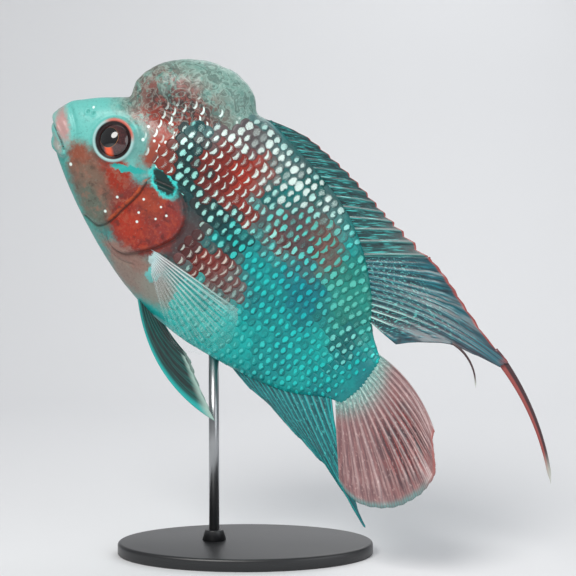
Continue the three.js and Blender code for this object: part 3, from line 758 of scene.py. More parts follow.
def fan(rays, crest, web, notch, branching, wave=0.0, seed=1, blend=-9):
    """One fin as a closed mesh with its own coordinates, in the bent frame."""
    rays = np.array(rays)
    at, grid = across_rays(rays, WEB_COLUMNS)
    rows = grid.shape[1]
    t = np.clip((np.arange(rows) - 2) / RAY_STEPS, 0, 1)
    gap = np.abs(at - np.round(at))[:, None]
    pull = notch * (2 * gap) ** 1.2 * t[None] ** 5
    moved = grid - pull[..., None] * (grid[:, -1:] - grid[:, 2:3])
    spacing = np.linalg.norm(np.gradient(grid, axis=0), axis=2) * WEB_COLUMNS
    share = ridge_share(at, t, branching, spacing) * smooth(-1.2, 0.6, at - blend)[:, None]
    flat = web[0] + (web[1] - web[0]) * t[None]
    raised = (crest[0] - web[0]) * (1 - t[None]) + crest[1] * t[None] * 0.6
    half = flat + share * raised
    draws = np.random.default_rng(seed)
    phase = draws.uniform(0, 6.28, 3)
    swing = np.sin(at * 1.1 + phase[0])[:, None] * t[None] ** 1.5
    swing = swing + 0.5 * np.sin(at * 2.3 + phase[1])[:, None] * t[None] ** 2
    swing = swing + 0.12 * np.cos(at * np.pi * 2)[:, None] * (1 - gap) * t[None]
    moved = moved + surface_normals(moved) * (wave * swing)[..., None]
    vertices, faces = thin_sheet(moved, half)
    k = np.repeat(at[:, None], rows, 1)
    own = np.stack([k, np.repeat(t[None], len(at), 0), share], 2).reshape(-1, 3)
    return vertices, faces, np.vstack([own, own])


def fin_piece(name, slot, parts, *nodes):
    """Joins the meshes of one fin into a piece that stands for its CAD nodes."""
    vertices = np.vstack([part[0] for part in parts])
    own = np.vstack([part[2] for part in parts])
    starts = np.cumsum([0] + [len(part[0]) for part in parts])
    faces = np.vstack([part[1] + start for part, start in zip(parts, starts)])
    mesh = new_mesh(name, over_stand(vertices), faces.tolist())
    note(mesh, "fin", own)
    piece = new_object(name, mesh)
    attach(piece, "root")
    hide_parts(*nodes)
    print(name, len(mesh.polygons), "faces")
    return piece


def middle_ray(root, pitch, curl, length, yaw=0, drift=-0.12, sunk=4):
    """A ray of the middle line. It curls evenly, and leans to one side as it grows longer."""
    pitches = (pitch + curl / 2, pitch - curl / 2)
    return ray_points(root, pitches, (yaw, drift * length), length, sunk)


print("web columns from ray to ray:", WEB_COLUMNS)

# %% [markdown]
# The rays' angles and lengths change smoothly along a fin's base, so a few keys for each
# describe a whole fin. The long back fin is two fans: hard spines, then soft rays that grow
# out to a streamer.

# %% Angles and lengths of the rays
SPINY_PITCH = through([(75, 20), (85, 28), (100, 33), (131, 33), (144, 40), (155, 41)])
SPINY_LENGTH = through([(75, 6), (85, 12.5), (100, 15.5), (131, 20), (144, 23.5), (155, 31)])
SOFT_PITCH = [(0, 41), (0.2, 33), (0.35, 26), (0.5, 19.2), (0.58, 16.3), (0.75, 17.4), (0.83, 21)]
SOFT_PITCH = through(SOFT_PITCH + [(0.93, 18), (1, 5)])
SOFT_LENGTH = [(0, 31.5), (0.2, 40), (0.35, 48), (0.5, 61), (0.58, 72), (0.67, 69.5), (0.75, 66.5)]
SOFT_LENGTH = through(SOFT_LENGTH + [(0.83, 46), (0.92, 29), (1, 16)])
SOFT_CURL = through([(0, 4), (0.35, 12), (0.58, 26), (0.74, 20), (0.88, 8), (1, 0)])
ANAL_PITCH = through([(0, -6), (0.35, -9), (0.6, -13.5), (0.8, -18), (1, -22)])
ANAL_LENGTH = [(0, 13), (0.14, 24), (0.28, 34), (0.43, 44), (0.57, 52), (0.71, 58), (0.785, 70)]
ANAL_LENGTH = through(ANAL_LENGTH + [(0.86, 56), (0.93, 47), (1, 39)])
TAIL_PITCH = through([(0, -6), (0.25, -7), (0.5, -13), (0.75, -26), (1, -41)])
TAIL_CURL = through([(0, 36), (0.2, 20), (0.5, 10), (1, -4)])
TAIL_LENGTH = through([(0, 48), (0.12, 50), (0.3, 58), (0.5, 61), (0.7, 58), (0.88, 50), (1, 38)])

SPINY_RAYS, SPINY_BASE = 15, (75, 154.4)
SOFT_RAYS, SOFT_BASE = 13, (155.2, 179)
ANAL_RAYS, ANAL_BASE = 15, (141, 183.5)
# The last, short rays of the anal fin: distance from the snout, pitch and length.
ANAL_LAST = ((186.5, -29, 34), (189, -36, 30))
TAIL_RAYS, TAIL_BASE, TAIL_BULGE, TAIL_HEIGHTS = 17, 191, 4, (22.5, -7)
ROOT_SUNK = 0.5
print("longest soft ray:", max(float(SOFT_LENGTH(s)) for s in np.linspace(0, 1, SOFT_RAYS)), "mm")

# %% Fins of the middle line
spiny = []
for u in np.linspace(*SPINY_BASE, SPINY_RAYS):
    root = (u, 0, float(back_line(u)) - ROOT_SUNK)
    spiny.append(middle_ray(root, float(SPINY_PITCH(u)), 4, float(SPINY_LENGTH(u))))
soft = []
for s in np.linspace(0, 1, SOFT_RAYS):
    u = SOFT_BASE[0] + (SOFT_BASE[1] - SOFT_BASE[0]) * s
    root = (u, 0, float(back_line(u)) - ROOT_SUNK)
    soft.append(middle_ray(root, float(SOFT_PITCH(s)), float(SOFT_CURL(s)), float(SOFT_LENGTH(s))))
spiny_fin = fan(spiny + [soft[0]], (0.95, 0.35), (0.4, 0.25), 0.1, 0, 0, seed=2)
fin_piece("dorsal_spiny", "teal_fin", [spiny_fin], "dorsal_fin_spiny")
soft_fin = fan(soft, (0.9, 0.35), (0.4, 0.22), 0.02, 1, 0.8, seed=3, blend=1)

anal = []
for s in np.linspace(0, 1, ANAL_RAYS):
    u = ANAL_BASE[0] + (ANAL_BASE[1] - ANAL_BASE[0]) * s
    root = (u, 0, float(belly_line(u)) + ROOT_SUNK)
    anal.append(middle_ray(root, float(ANAL_PITCH(s)), -6, float(ANAL_LENGTH(s))))
for u, pitch, length in ANAL_LAST:
    root = (u, 0, float(belly_line(u)) + 1.2)
    anal.append(middle_ray(root, pitch, -6, length, yaw=-2))
anal_fin = fan(anal, (0.95, 0.35), (0.4, 0.22), 0.03, 0.8, 0.7, seed=4)
fin_piece("anal", "teal_fin", [anal_fin], "anal_fin")

tail = []
for s in np.linspace(0, 1, TAIL_RAYS):
    height = TAIL_HEIGHTS[0] + (TAIL_HEIGHTS[1] - TAIL_HEIGHTS[0]) * s
    root = (TAIL_BASE + TAIL_BULGE * math.sin(math.pi * s), 0, height)
    length, pitch, curl = float(TAIL_LENGTH(s)), float(TAIL_PITCH(s)), float(TAIL_CURL(s))
    tail.append(middle_ray(root, pitch, curl, length, drift=0.15, sunk=3))
tail_fan = fan(tail, (0.9, 0.35), (0.4, 0.22), 0.008, 1, 0.6, seed=5)
fin_piece("tail", "tail_fin", [tail_fan], "caudal_fin")

# %% [markdown]
# Two rays of the soft back fin grow on past its edge: one into the long streamer, one into a
# short hair. Each is a thin tapered band that starts inside the fin and curves down. A band
# with its own width and bend is simpler than making the whole fan reach so far.

# %% Streamer of the back fin
TRAIL_ROWS, TRAIL_COLUMNS = 60, 7
STREAMER = {"ray": 7, "length": 66, "rooted": 8, "pitch": (-9, -41), "wide": (4.8, 1.6)}
HAIR = {"ray": 10, "length": 25, "rooted": 4, "pitch": (14, -52), "wide": (1.4, 0.6)}


def trail(ray, length, rooted, pitch, wide):
    """A thin closed band that carries one soft ray on past the edge of the fin."""
    tip, before = soft[ray][-1], soft[ray][-3]
    forward = (tip - before) / np.linalg.norm(tip - before)
    t = np.linspace(0, 1, TRAIL_ROWS)
    rise = np.radians(pitch[0] + (pitch[1] - pitch[0]) * t)
    turn = math.atan2(-forward[1], forward[0])
    level = np.cos(rise)
    step = np.stack([level * math.cos(turn), -level * math.sin(turn), np.sin(rise)], 1)
    path = np.vstack([[0, 0, 0], np.cumsum(step[:-1], 0)]) * length / TRAIL_ROWS
    path = path + tip - forward * rooted
    across = np.cross(step, [math.sin(turn), math.cos(turn), 0])
    half = 0.5 * (wide[0] + (wide[1] - wide[0]) * t**0.7)
    half = half * smooth(-0.3, 0.12, t) * smooth(1.01, 0.9, t)
    share = np.linspace(-1, 1, TRAIL_COLUMNS)[:, None]
    grid = path[None] + share[..., None] * across[None] * half[None, :, None]
    vertices, faces = thin_sheet(grid, (0.45 - 0.2 * t[None]) * (1 - 0.6 * np.abs(share)))
    ray_number = np.repeat(ray + share / 2, len(t), 1)
    out = np.repeat(1 + t[None], TRAIL_COLUMNS, 0)
    ridge = np.repeat(np.exp(-((2 * share) ** 2)), len(t), 1)
    own = np.stack([ray_number, out, ridge], 2).reshape(-1, 3)
    return vertices, faces, np.vstack([own, own])


soft_parts = [soft_fin, trail(**STREAMER), trail(**HAIR)]
fin_piece("dorsal_soft", "teal_fin", soft_parts, "dorsal_fin_soft", "dorsal_streamer")

# %% [markdown]
# The pectoral and pelvic fins come in pairs. A loop over both sides builds them from the same
# keys, with every sideways number turned round. The far pelvic fin is folded a few degrees
# lower than the near one, as in the picture, where one fin hides most of the other.

# %% Paired fins
PECTORAL_RAYS, PELVIC_RAYS = 12, 6
PECTORAL_PITCH = through([(0, 9), (0.5, -8), (1, -30)])
PECTORAL_LENGTH = through([(0, 51), (0.3, 56), (0.6, 54), (1, 38)])
PELVIC_START = through([(0, -42), (1, -20)])
PELVIC_END = through([(0, 10), (0.3, 6), (1, 0)])
PELVIC_LENGTH = through([(0, 70), (0.2, 60), (0.5, 44), (1, 26)])
PELVIC_FOLD = {1: -7, -1: 1}

for side, word in ((1, "right"), (-1, "left")):
    rays = []
    for s in np.linspace(0, 1, PECTORAL_RAYS):
        u, w = 76.5 + 4 * s, -10 - 8 * s
        root = (u, side * (float(side_at(u, w)) - 0.6), w)
        pitch, length = float(PECTORAL_PITCH(s)), float(PECTORAL_LENGTH(s))
        rays.append(ray_points(root, (pitch + 3, pitch - 3), (-side * 30, -side * 2), length, 2.5))
    sheet = fan(rays, (0.8, 0.28), (0.35, 0.18), 0.015, 1, 0.5, seed=6)
    fin_piece("pectoral_" + word, "pale_fin", [sheet], "pectoral_fin_" + word)
    rays = []
    for s in np.linspace(0, 1, PELVIC_RAYS):
        u = 86.5 + 8.5 * s
        level, _, drop, _ = section(u)
        root = (u, side * (6.5 - 2 * s), float(level - drop) + 0.5)
        fold = PELVIC_FOLD[side]
        pitch = (float(PELVIC_START(s)) + fold, float(PELVIC_END(s)) + fold)
        rays.append(ray_points(root, pitch, (-side * 16, -side * 2), float(PELVIC_LENGTH(s)), 3))
    sheet = fan(rays, (0.85, 0.3), (0.4, 0.2), 0.05, 0.8, 0.4, seed=7)
    fin_piece("pelvic_" + word, "teal_fin", [sheet], "pelvic_fin_" + word)

# %% [markdown]
# The eye is a flattened ball sunk in its socket. It carries its own flat coordinates, so its
# rings can be drawn on it as circles round the pupil.

# %% Eyes
EYE_RINGS_OF_FACES, EYE_SIDES = 48, 96
CORNEA_RISE = 0.5


def eye_piece(side, word):
    centre, out = eye_frame(side)
    ahead = np.array([-1, 0, 0]) + out * out[0]
    ahead /= np.linalg.norm(ahead)
    upward = np.cross(out, ahead) * side
    if upward[2] < 0:
        upward = -upward
    rings, sides = EYE_RINGS_OF_FACES, EYE_SIDES
    polar = np.linspace(0, np.pi, rings + 2)[1:-1]
    angle = 2 * np.pi * np.arange(sides) / sides
    flat = np.stack([np.cos(angle), np.sin(angle)], 1)
    disc = np.sin(polar)[:, None, None] * flat[None]
    high = np.repeat(np.cos(polar)[:, None], sides, 1)
    own = np.concatenate([disc, high[..., None]], 2).reshape(-1, 3)
    own = np.vstack([[[0, 0, 1]], own, [[0, 0, -1]]])
    radial = np.hypot(own[:, 0], own[:, 1])
    cornea = CORNEA_RISE * smooth(0.75, 0, radial) * (own[:, 2] > 0)
    points = centre + EYE_RADIUS * (own[:, :1] * ahead + own[:, 1:2] * upward)
    points = points + (own[:, 2:3] * EYE_DEPTH + cornea[:, None]) * out
    faces = ring_faces(rings, sides)
    if side > 0:
        faces = [face[::-1] for face in faces]
    mesh = new_mesh("eyeball_" + word, over_stand(bend(points)), faces)
    note(mesh, "eye", own)
    piece = new_object("eyeball_" + word, mesh)
    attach(piece, "root")
    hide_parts("eye_" + word)
    return piece


eyes = [eye_piece(1, "right"), eye_piece(-1, "left")]
print("eyes:", 2 * EYE_RADIUS, "mm across")

# %% [markdown]
# The stand isn't in the picture, where the fish swims. It is an oval base with a short boss
# and one steel rod up into the belly. All three are turned solids, as a lathe would make
# them, and the base's circle is stretched to an oval under the long body.

# %% Stand
BASE_LONG, BASE_DEEP, BASE_HIGH, BASE_EDGE, BASE_FOOT = 62, 37, 6, 1.5, 0.6
ROD_X, ROD_Y, ROD_RADIUS, ROD_TOP = -15.3, 2.9, 2.5, 100
BOSS_TOP, BOSS_LOW_RADIUS, BOSS_TOP_RADIUS, BOSS_EDGE = 11, 6, 4.5, 0.5
BOSS_SUNK, ROD_SUNK = 0.5, 1
TURNED_SIDES = 128


def turned(name, slot, profile, stretch, middle, node):
    """A turned solid from (radius, height) points, its circle stretched to an oval."""
    sides = TURNED_SIDES
    angle = 2 * np.pi * np.arange(sides) / sides
    points = [[middle[0], middle[1], profile[0][1]]]
    for radius, height in profile:
        x = middle[0] + (stretch[0] + radius) * np.cos(angle)
        y = middle[1] + (stretch[1] + radius) * np.sin(angle)
        points += np.stack([x, y, np.full(sides, height)], 1).tolist()
    points.append([middle[0], middle[1], profile[-1][1]])
    mesh = new_mesh(name, np.array(points) * MM, ring_faces(len(profile), sides))
    piece = new_object(name, mesh)
    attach(piece, "root")
    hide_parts(node)
    return piece


def rounded(radius, high, size, steps=6):
    """(radius, height) points of a quarter-round edge from the side to the top."""
    t = np.linspace(0, np.pi / 2, steps)
    return [(radius - size * (1 - math.cos(a)), high - size + size * math.sin(a)) for a in t]


base_profile = [(-BASE_FOOT, 0), (0, BASE_FOOT)] + rounded(0, BASE_HIGH, BASE_EDGE)
base = turned("base", "stand_black", base_profile, (BASE_LONG, BASE_DEEP), (0, 0), "stand_base")
boss_profile = [(BOSS_LOW_RADIUS, BASE_HIGH - BOSS_SUNK)]
boss_profile += rounded(BOSS_TOP_RADIUS, BOSS_TOP, BOSS_EDGE)
boss = turned("boss", "stand_black", boss_profile, (0, 0), (ROD_X, ROD_Y), "stand_base")
rod_profile = [(ROD_RADIUS, BOSS_TOP - ROD_SUNK), (ROD_RADIUS, ROD_TOP)]
rod = turned("rod", "stand_steel", rod_profile, (0, 0), (ROD_X, ROD_Y), "stand_rod")
print("stand:", 2 * BASE_LONG, "by", 2 * BASE_DEEP, "mm, rod", 2 * ROD_RADIUS, "mm across")

# %% [markdown]
# A finish is a small network of shader nodes. A class wraps a node's output, so that sums of
# them read like ordinary arithmetic, and one method adds any other kind of node. That keeps
# each finish short enough to read as a recipe of colours and masks.

# %% Wiring a finish
NO_DEPTH = 1e6


class Wire:
    """The output of a node, with ordinary arithmetic. Plain numbers may stand on either side."""

    def __init__(self, finish, socket):
        self.finish = finish
        self.socket = socket

    def maths(self, operation, first, second=0.0):
        values = {0: first, 1: second}
        return self.finish.node("ShaderNodeMath", {"operation": operation}, values)

    def __add__(self, other):
        return self.maths("ADD", self, other)

    def __sub__(self, other):
        return self.maths("SUBTRACT", self, other)

    def __rsub__(self, other):
        return self.maths("SUBTRACT", other, self)

    def __mul__(self, other):
        return self.maths("MULTIPLY", self, other)

    def __truediv__(self, other):
        return self.maths("DIVIDE", self, other)

    def __abs__(self):
        return self.maths("ABSOLUTE", self)

    __radd__ = __add__
    __rmul__ = __mul__


class Finish:
    """A material being wired up."""

    def __init__(self, name, **constants):
        self.material = bpy.data.materials.new(name)
        self.material.use_nodes = True
        self.tree = self.material.node_tree
        self.surface = self.tree.nodes["Principled BSDF"]
        self.colour = None
        self.shine(**constants)

    def node(self, kind, settings=None, values=None, output=0):
        node = self.tree.nodes.new(kind)
        for key, value in (settings or {}).items():
            setattr(node, key, value)
        for key, value in (values or {}).items():
            self.feed(node.inputs[key], value)
        return Wire(self, node.outputs[output])

    def feed(self, socket, value):
        if isinstance(value, Wire):
            self.tree.links.new(value.socket, socket)
        else:
            socket.default_value = value

    def shine(self, **values):
        """Sets inputs of the surface, each to a number, a colour or a node's output."""
        for key, value in values.items():
            label = key.replace("_", " ").title().replace("Ior", "IOR")
            self.feed(self.surface.inputs[label], value)

    def noted(self, name):
        return self.node("ShaderNodeAttribute", {"attribute_name": name}, output=1)

    def split(self, vector):
        node = self.tree.nodes.new("ShaderNodeSeparateXYZ")
        self.tree.links.new(vector.socket, node.inputs[0])
        return [Wire(self, output) for output in node.outputs]

    def join(self, x, y, z=0.0):
        return self.node("ShaderNodeCombineXYZ", None, {0: x, 1: y, 2: z})

    def vector(self, operation, first, second, output=0):
        values = {0: first, 1: second}
        return self.node("ShaderNodeVectorMath", {"operation": operation}, values, output)

    def ramp(self, low, high, x):
        """Smooth step of x from low to high. It falls when low is over high."""
        settings = {"interpolation_type": "SMOOTHSTEP"}
        return self.node("ShaderNodeMapRange", settings, {"Value": x, 1: low, 2: high})

    def mix(self, share, first, second):
        settings = {"data_type": "RGBA", "clamp_factor": True}
        return self.node("ShaderNodeMix", settings, {0: share, 6: first, 7: second}, 2)

    def lay(self, share, over):
        """Lays one more colour over the finish's colour so far, by a share from 0 to 1."""
        self.colour = self.mix(share, self.colour, over)

    def grain(self, place, scale, detail=2.0, rough=0.5, output=0):
        values = {"Vector": place, "Scale": scale, "Detail": detail, "Roughness": rough}
        return self.node("ShaderNodeTexNoise", None, values, output)

    def blob(self, place, middle, radii, turn=0, soft=0.35):
        """1 inside an oval round middle, fading out past its edge. Millimetres and degrees."""
        settings = {"vector_type": "TEXTURE"}
        values = {"Location": (*middle, 0), "Rotation": (0, 0, math.radians(turn))}
        values.update({"Vector": place, "Scale": (*radii, NO_DEPTH)})
        local = self.node("ShaderNodeMapping", settings, values)
        far = self.vector("LENGTH", local, (0, 0, 0), 1)
        return self.ramp(1 + soft, 1 - soft, far)


print("a wire knows + - * / and abs")

# %% Colours and dressing
VIVID, DEEP = 1.12, 0.8


def paint(red, green, blue, deep=DEEP):
    """A screen's colour, 0 to 255, as the linear and slightly richer one of a finish."""
    seen = (red, green, blue)
    linear = [((c / 255 + 0.055) / 1.055) ** 2.4 if c > 10 else c / 3294 for c in seen]
    grey = sum(linear) / 3
    return (*[max(0.002, grey + (c - grey) * VIVID) * deep for c in linear], 1)


def dress(finish, *pieces):
    for piece in pieces:
        piece.data.materials.clear()
        piece.data.materials.append(finish.material)
        print(piece.name, "wears", finish.material.name, "with", len(finish.tree.nodes), "nodes")


print("white of the marks:", [round(part, 2) for part in paint(232, 250, 244, 1)])

# %% [markdown]
# The markings are the fish. They are written once, as soft ovals in fish coordinates, each
# with its ground colour, the colour of the light mark on a scale and that mark's size. Skin
# and scales both read them, so no border shows where scales begin.

# %% Markings of body and head
WHITE, PEARL = paint(232, 250, 244, 1), paint(176, 246, 236, 0.95)
AQUA = paint(84, 234, 226, 0.78)
# Each oval: middle, radii, turn, softness, ground, mark, size of mark from 0 to 1.
FLANK = [
    ((108, -27), (40, 17), 6, 0.6, paint(40, 204, 198), paint(110, 232, 224), 0.14),
    ((104, -22), (22, 10), 0, 0.7, paint(96, 214, 204), paint(150, 236, 226), 0.05),
    ((163, 32), (22, 18), -30, 0.5, paint(54, 150, 138), paint(120, 222, 206, 0.8), 0.45),
    ((146, 20), (14, 10), -20, 0.7, paint(0, 128, 140), paint(50, 206, 214, 0.8), 0.35),
    ((121, 42), (26, 14), -14, 0.5, paint(104, 92, 94), paint(120, 236, 226, 0.9), 0.42),
    ((139, 44), (11, 7), -20, 0.5, paint(128, 98, 92), paint(110, 214, 200, 0.8), 0.36),
    ((99, 60), (40, 9), -2, 0.45, paint(96, 122, 122), WHITE, 0.62),
    ((73, 56), (15, 11), 30, 0.45, paint(112, 104, 106), WHITE, 0.6),
    ((54, 32), (12, 14), 10, 0.3, paint(146, 62, 50), WHITE, 0.2),
    ((76, 37), (18, 15), 12, 0.3, paint(132, 50, 44), WHITE, 0.14),
    ((90, 47), (9, 9), 20, 0.35, paint(176, 66, 54), WHITE, 0.16),
    ((96, 30), (9, 7), 10, 0.35, paint(158, 66, 58), WHITE, 0.26),
    ((118, 31), (11, 5), -10, 0.4, paint(120, 66, 64), PEARL, 0.36),
    ((105, 50), (11, 7), 30, 0.4, paint(44, 132, 130), WHITE, 0.7),
    ((115, 59.5), (5.5, 4.5), 0, 0.3, paint(0, 106, 102), WHITE, 0.45),
    ((102.5, 43), (4.5, 4), 0, 0.3, paint(0, 100, 102), PEARL, 0.4),
    ((58, 39), (6.5, 8), 0, 0.25, paint(0, 74, 76), WHITE, 0.5),
    ((65, 28), (15, 6), -52, 0.3, paint(0, 56, 58), PEARL, 0.42),
    ((87, 21), (23, 8), 0, 0.3, paint(0, 62, 64), PEARL, 0.46),
    ((103, 17), (10, 8), -40, 0.35, paint(0, 84, 88), AQUA, 0.45),
    ((95, 1), (20, 8), 12, 0.35, paint(140, 54, 48), paint(240, 222, 210, 0.9), 0.18),
    ((113, -1), (13, 6), 8, 0.4, paint(132, 92, 90), paint(190, 196, 190, 0.8), 0.3),
    ((177, 17), (5, 12), 15, 0.7, paint(0, 112, 114), paint(150, 236, 228, 0.9), 0.4),
    ((83, 4), (8, 13), 8, 0.5, paint(88, 50, 50), paint(206, 214, 206, 0.9), 0.25),
]
# Head ovals lie over the flank's, on the skin alone: middle, radii, turn, softness, colour.
HEAD = [
    ((18, 16), (32, 38), 0, 0.22, paint(122, 204, 196)),
    ((-3, 6), (5, 8), 0, 0.5, paint(150, 196, 190)),
    ((30, -20), (34, 9), -24, 0.4, paint(78, 168, 160)),
    ((38, -4), (22, 13), -16, 0.25, paint(122, 86, 74)),
    ((40, -13), (13, 6.5), -24, 0.5, paint(104, 112, 100)),
    ((22, 0), (8, 5), -20, 0.5, paint(150, 88, 70)),
    ((41, 7), (14, 6), -28, 0.45, paint(158, 52, 36)),
    ((30, -3), (8, 5), 10, 0.6, paint(128, 106, 92)),
    ((75, -25), (17, 11), -10, 0.4, paint(146, 128, 118)),
    ((90, -24), (11, 8), 0, 0.6, paint(150, 150, 140)),
    ((64, -1), (17, 18), 0, 0.16, paint(132, 50, 44)),
    ((61, -8), (9, 7), -30, 0.6, paint(176, 58, 40)),
    ((73, 5), (6, 11), 10, 0.5, paint(148, 56, 50)),
    ((61, 7), (8, 5), -20, 0.6, paint(158, 66, 48)),
    ((66, -22), (14, 3.5), 8, 0.5, paint(150, 118, 108)),
    ((50, 26), (10, 9), 0, 0.45, paint(150, 74, 58)),
    ((44, 37), (9, 8), 20, 0.45, paint(176, 66, 50)),
    ((40, 24), (4.5, 9), 10, 0.5, paint(112, 170, 164)),
]
# White dots: place and radius.
DOTS = [(47.5, -1.5, 1.1), (47, -11, 1.2), (20, -5.5, 1.4), (11.5, 22, 1), (58, 6.5, 1), (60, 0, 1)]
DOTS += [(62, -4, 1.1), (66.5, 9, 0.9), (68, 3, 0.9), (71, 7.5, 1), (57, 27, 1.3), (49, 33, 1.2)]
DOTS += [(44.5, 30, 1.1), (53, 22, 1.1), (46, 41, 1.1), (38, 33, 1.2), (40, 27, 1.3)]
# Sharper marks, behind the eye and on the fin's lobes: middle, radii, turn, colour.
# The last, pale one on the small lobe is a painted highlight.
PATCHES = [
    ((60, 18.5), (9, 5), -14, paint(90, 226, 220)),
    ((60, 18.5), (7.4, 3.4), -14, paint(12, 50, 48)),
    ((57.5, 39.5), (6.2, 7.4), 0, paint(120, 232, 226)),
    ((57.5, 39.5), (4.6, 5.6), 0, paint(0, 66, 66)),
    ((43, 12), (8.5, 1.5), 31, paint(64, 176, 170)),
    ((83, -19.5), (3.4, 4), 0, paint(120, 200, 196)),
    # Painted highlight: a pale patch on the small lobe at the pectoral fin's root.
    ((78.5, -13), (2, 2.6), 0, paint(196, 224, 224)),
]
print(len(FLANK), "ovals on the flank,", len(HEAD) + len(PATCHES), "on the head,", len(DOTS), "dots")


# %% Reading the markings
CELL_HEIGHT, CELL_LENGTH = 4.4, 4.2


def stir(finish, place, noise, reach):
    """A place moved about by up to half of reach, by a colour of noise."""
    moved = finish.vector("ADD", place, finish.vector("MULTIPLY", noise, (reach, reach, 0)))
    return finish.vector("SUBTRACT", moved, (reach / 2, reach / 2, 0))


def fish_place(finish):
    """Fish coordinates u and w, and the flat place (u, w), plain and unsettled by noise."""
    u, v, w = finish.split(finish.noted("place"))
    flat = finish.join(u, w)
    wide = finish.grain(finish.join(u, w, v * 0.2), 0.2, 4, 0.8, 1)
    return u, w, flat, stir(finish, flat, wide, 11)


def flank_markings(finish, stirred):
    """Ground colour, mark colour and mark size of the scaled body."""
    drift = finish.grain(stirred, 0.05, 3, 0.6)
    ground = finish.mix(finish.ramp(0.35, 0.65, drift), paint(0, 140, 146), paint(0, 178, 174))
    mark = finish.mix(drift, paint(60, 226, 222, 0.8), AQUA)
    size = finish.ramp(0, 1, 0.36 + drift * 0.1)
    for middle, radii, turn, soft, under, over, amount in FLANK:
        share = finish.blob(stirred, middle, radii, turn, soft)
        ground = finish.mix(share, ground, under)
        mark = finish.mix(share, mark, over)
        size = size + (amount - size) * share
    return ground, mark, size


def scale_cells(finish, u, w):
    """Rows of cells like scales, drawn where no plates lie: local s, t and a random share."""
    row = w / CELL_HEIGHT
    column = u / CELL_LENGTH + row * 0.3
    s = column.maths("FRACT", column) - 0.5
    t = row.maths("FRACT", row) - 0.5
    cell = finish.join(column.maths("FLOOR", column), row.maths("FLOOR", row))
    chance = finish.node("ShaderNodeTexWhiteNoise", {"noise_dimensions": "2D"}, {"Vector": cell})
    return s, t, chance


print("drawn cells:", CELL_LENGTH, "by", CELL_HEIGHT, "mm, scale plates:", SCALE_PITCH, "by", ROW_HEIGHT)

# %% [markdown]
# Three things lie on top of the head's ovals: the hump's marbled flesh, the white dots and
# strokes of the nape, and thin lines that follow the grooves of the shape, painted shade in
# the grooves and a painted highlight beside one. The lines read distances noted on the skin,
# so they stay exactly where the grooves are.

# %% Flesh of the hump
def hump_colour(finish, flat, w):
    """The hump's marbled flesh: red and dark patches, a pale rim and curling lines."""
    solid = finish.noted("place")
    drift = finish.grain(solid, 0.3, 3, 0.6, 1)
    moved = stir(finish, flat, drift, 7)
    wandering = stir(finish, solid, drift, 7)
    coarse = finish.grain(wandering, 0.12, 4, 0.65)
    fine = finish.grain(wandering, 0.34, 4, 0.7)
    curling = {"Vector": solid, "Scale": 0.17, "Distortion": 1.6}
    curls = finish.node("ShaderNodeTexNoise", None, curling)
    flesh = finish.mix(finish.ramp(0.42, 0.58, fine), paint(96, 134, 126), paint(146, 176, 166))
    middle = finish.blob(moved, (42, 51), (23, 14), 24, 0.5)
    red = finish.ramp(0.4, 0.5, coarse) * middle
    low = finish.blob(moved, (46, 41), (18, 7), 30, 0.5) * finish.ramp(0.38, 0.48, coarse)
    dark = finish.blob(moved, (45, 50), (17, 8), 20, 0.5) * finish.ramp(0.42, 0.54, fine)
    rim = finish.ramp(58, 70, w + fine * 6)
    pale_lines = finish.ramp(0.06, 0.015, abs(curls - 0.5))
    dark_lines = finish.ramp(0.07, 0.02, abs(curls - 0.42))
    for share, over in (
        (red * 0.9, paint(146, 76, 70)),
        (low, paint(162, 60, 48)),
        (dark * 0.9, paint(48, 44, 44)),
        (rim * 0.5, paint(140, 182, 172)),
        (pale_lines * 0.28, paint(190, 216, 206)),
        (dark_lines * 0.4, paint(66, 74, 72)),
    ):
        flesh = finish.mix(share, flesh, over)
    return flesh


print("the hump's noise is solid, so it doesn't streak over the top of the head")


# %% Nape, gill cover and cheek
def nape_strokes(finish, u, w, stirred):
    """White strokes like scales on the nape, where no plates lie."""
    s, t, chance = scale_cells(finish, u, w)
    nape = finish.blob(stirred, (54, 37), (15, 17), 20, 0.3)
    nape = nape + finish.blob(stirred, (62, 55), (14, 7), 0, 0.4)
    stroke = finish.ramp(0.15, 0.09, abs(s + t * t)) * finish.ramp(0.45, 0.32, abs(t))
    finish.lay(stroke * finish.ramp(0.4, 0.5, chance) * nape, WHITE)


def gill_and_cheek(finish, flat, near, cloud):
    """Clouded red on the gill cover and cheek, then the patches and white dots."""
    light, dark = finish.ramp(0.5, 0.62, cloud), finish.ramp(0.46, 0.34, cloud)
    gill_share = finish.blob(near, (65, -1), (15, 16), 0, 0.2)
    finish.lay(gill_share * light * 0.8, paint(176, 78, 58))
    finish.lay(gill_share * dark * 0.7, paint(84, 34, 32))
    cheek_share = finish.blob(near, (38, -3), (17, 13), -10, 0.3)
    finish.lay(cheek_share * finish.ramp(0.5, 0.64, cloud) * 0.6, paint(158, 112, 96))
    finish.lay(cheek_share * dark * 0.6, paint(70, 60, 52))
    for middle, radii, turn, over in PATCHES:
        finish.lay(finish.blob(near, middle, radii, turn, 0.18), over)
    for dot_u, dot_w, radius in DOTS:
        far = finish.vector("DISTANCE", flat, (dot_u, dot_w, 0), 1)
        finish.lay(finish.ramp(radius * 0.8, radius * 0.35, far) * 0.9, WHITE)


print("clouds lie on two ovals, the gill cover's and the cheek's")


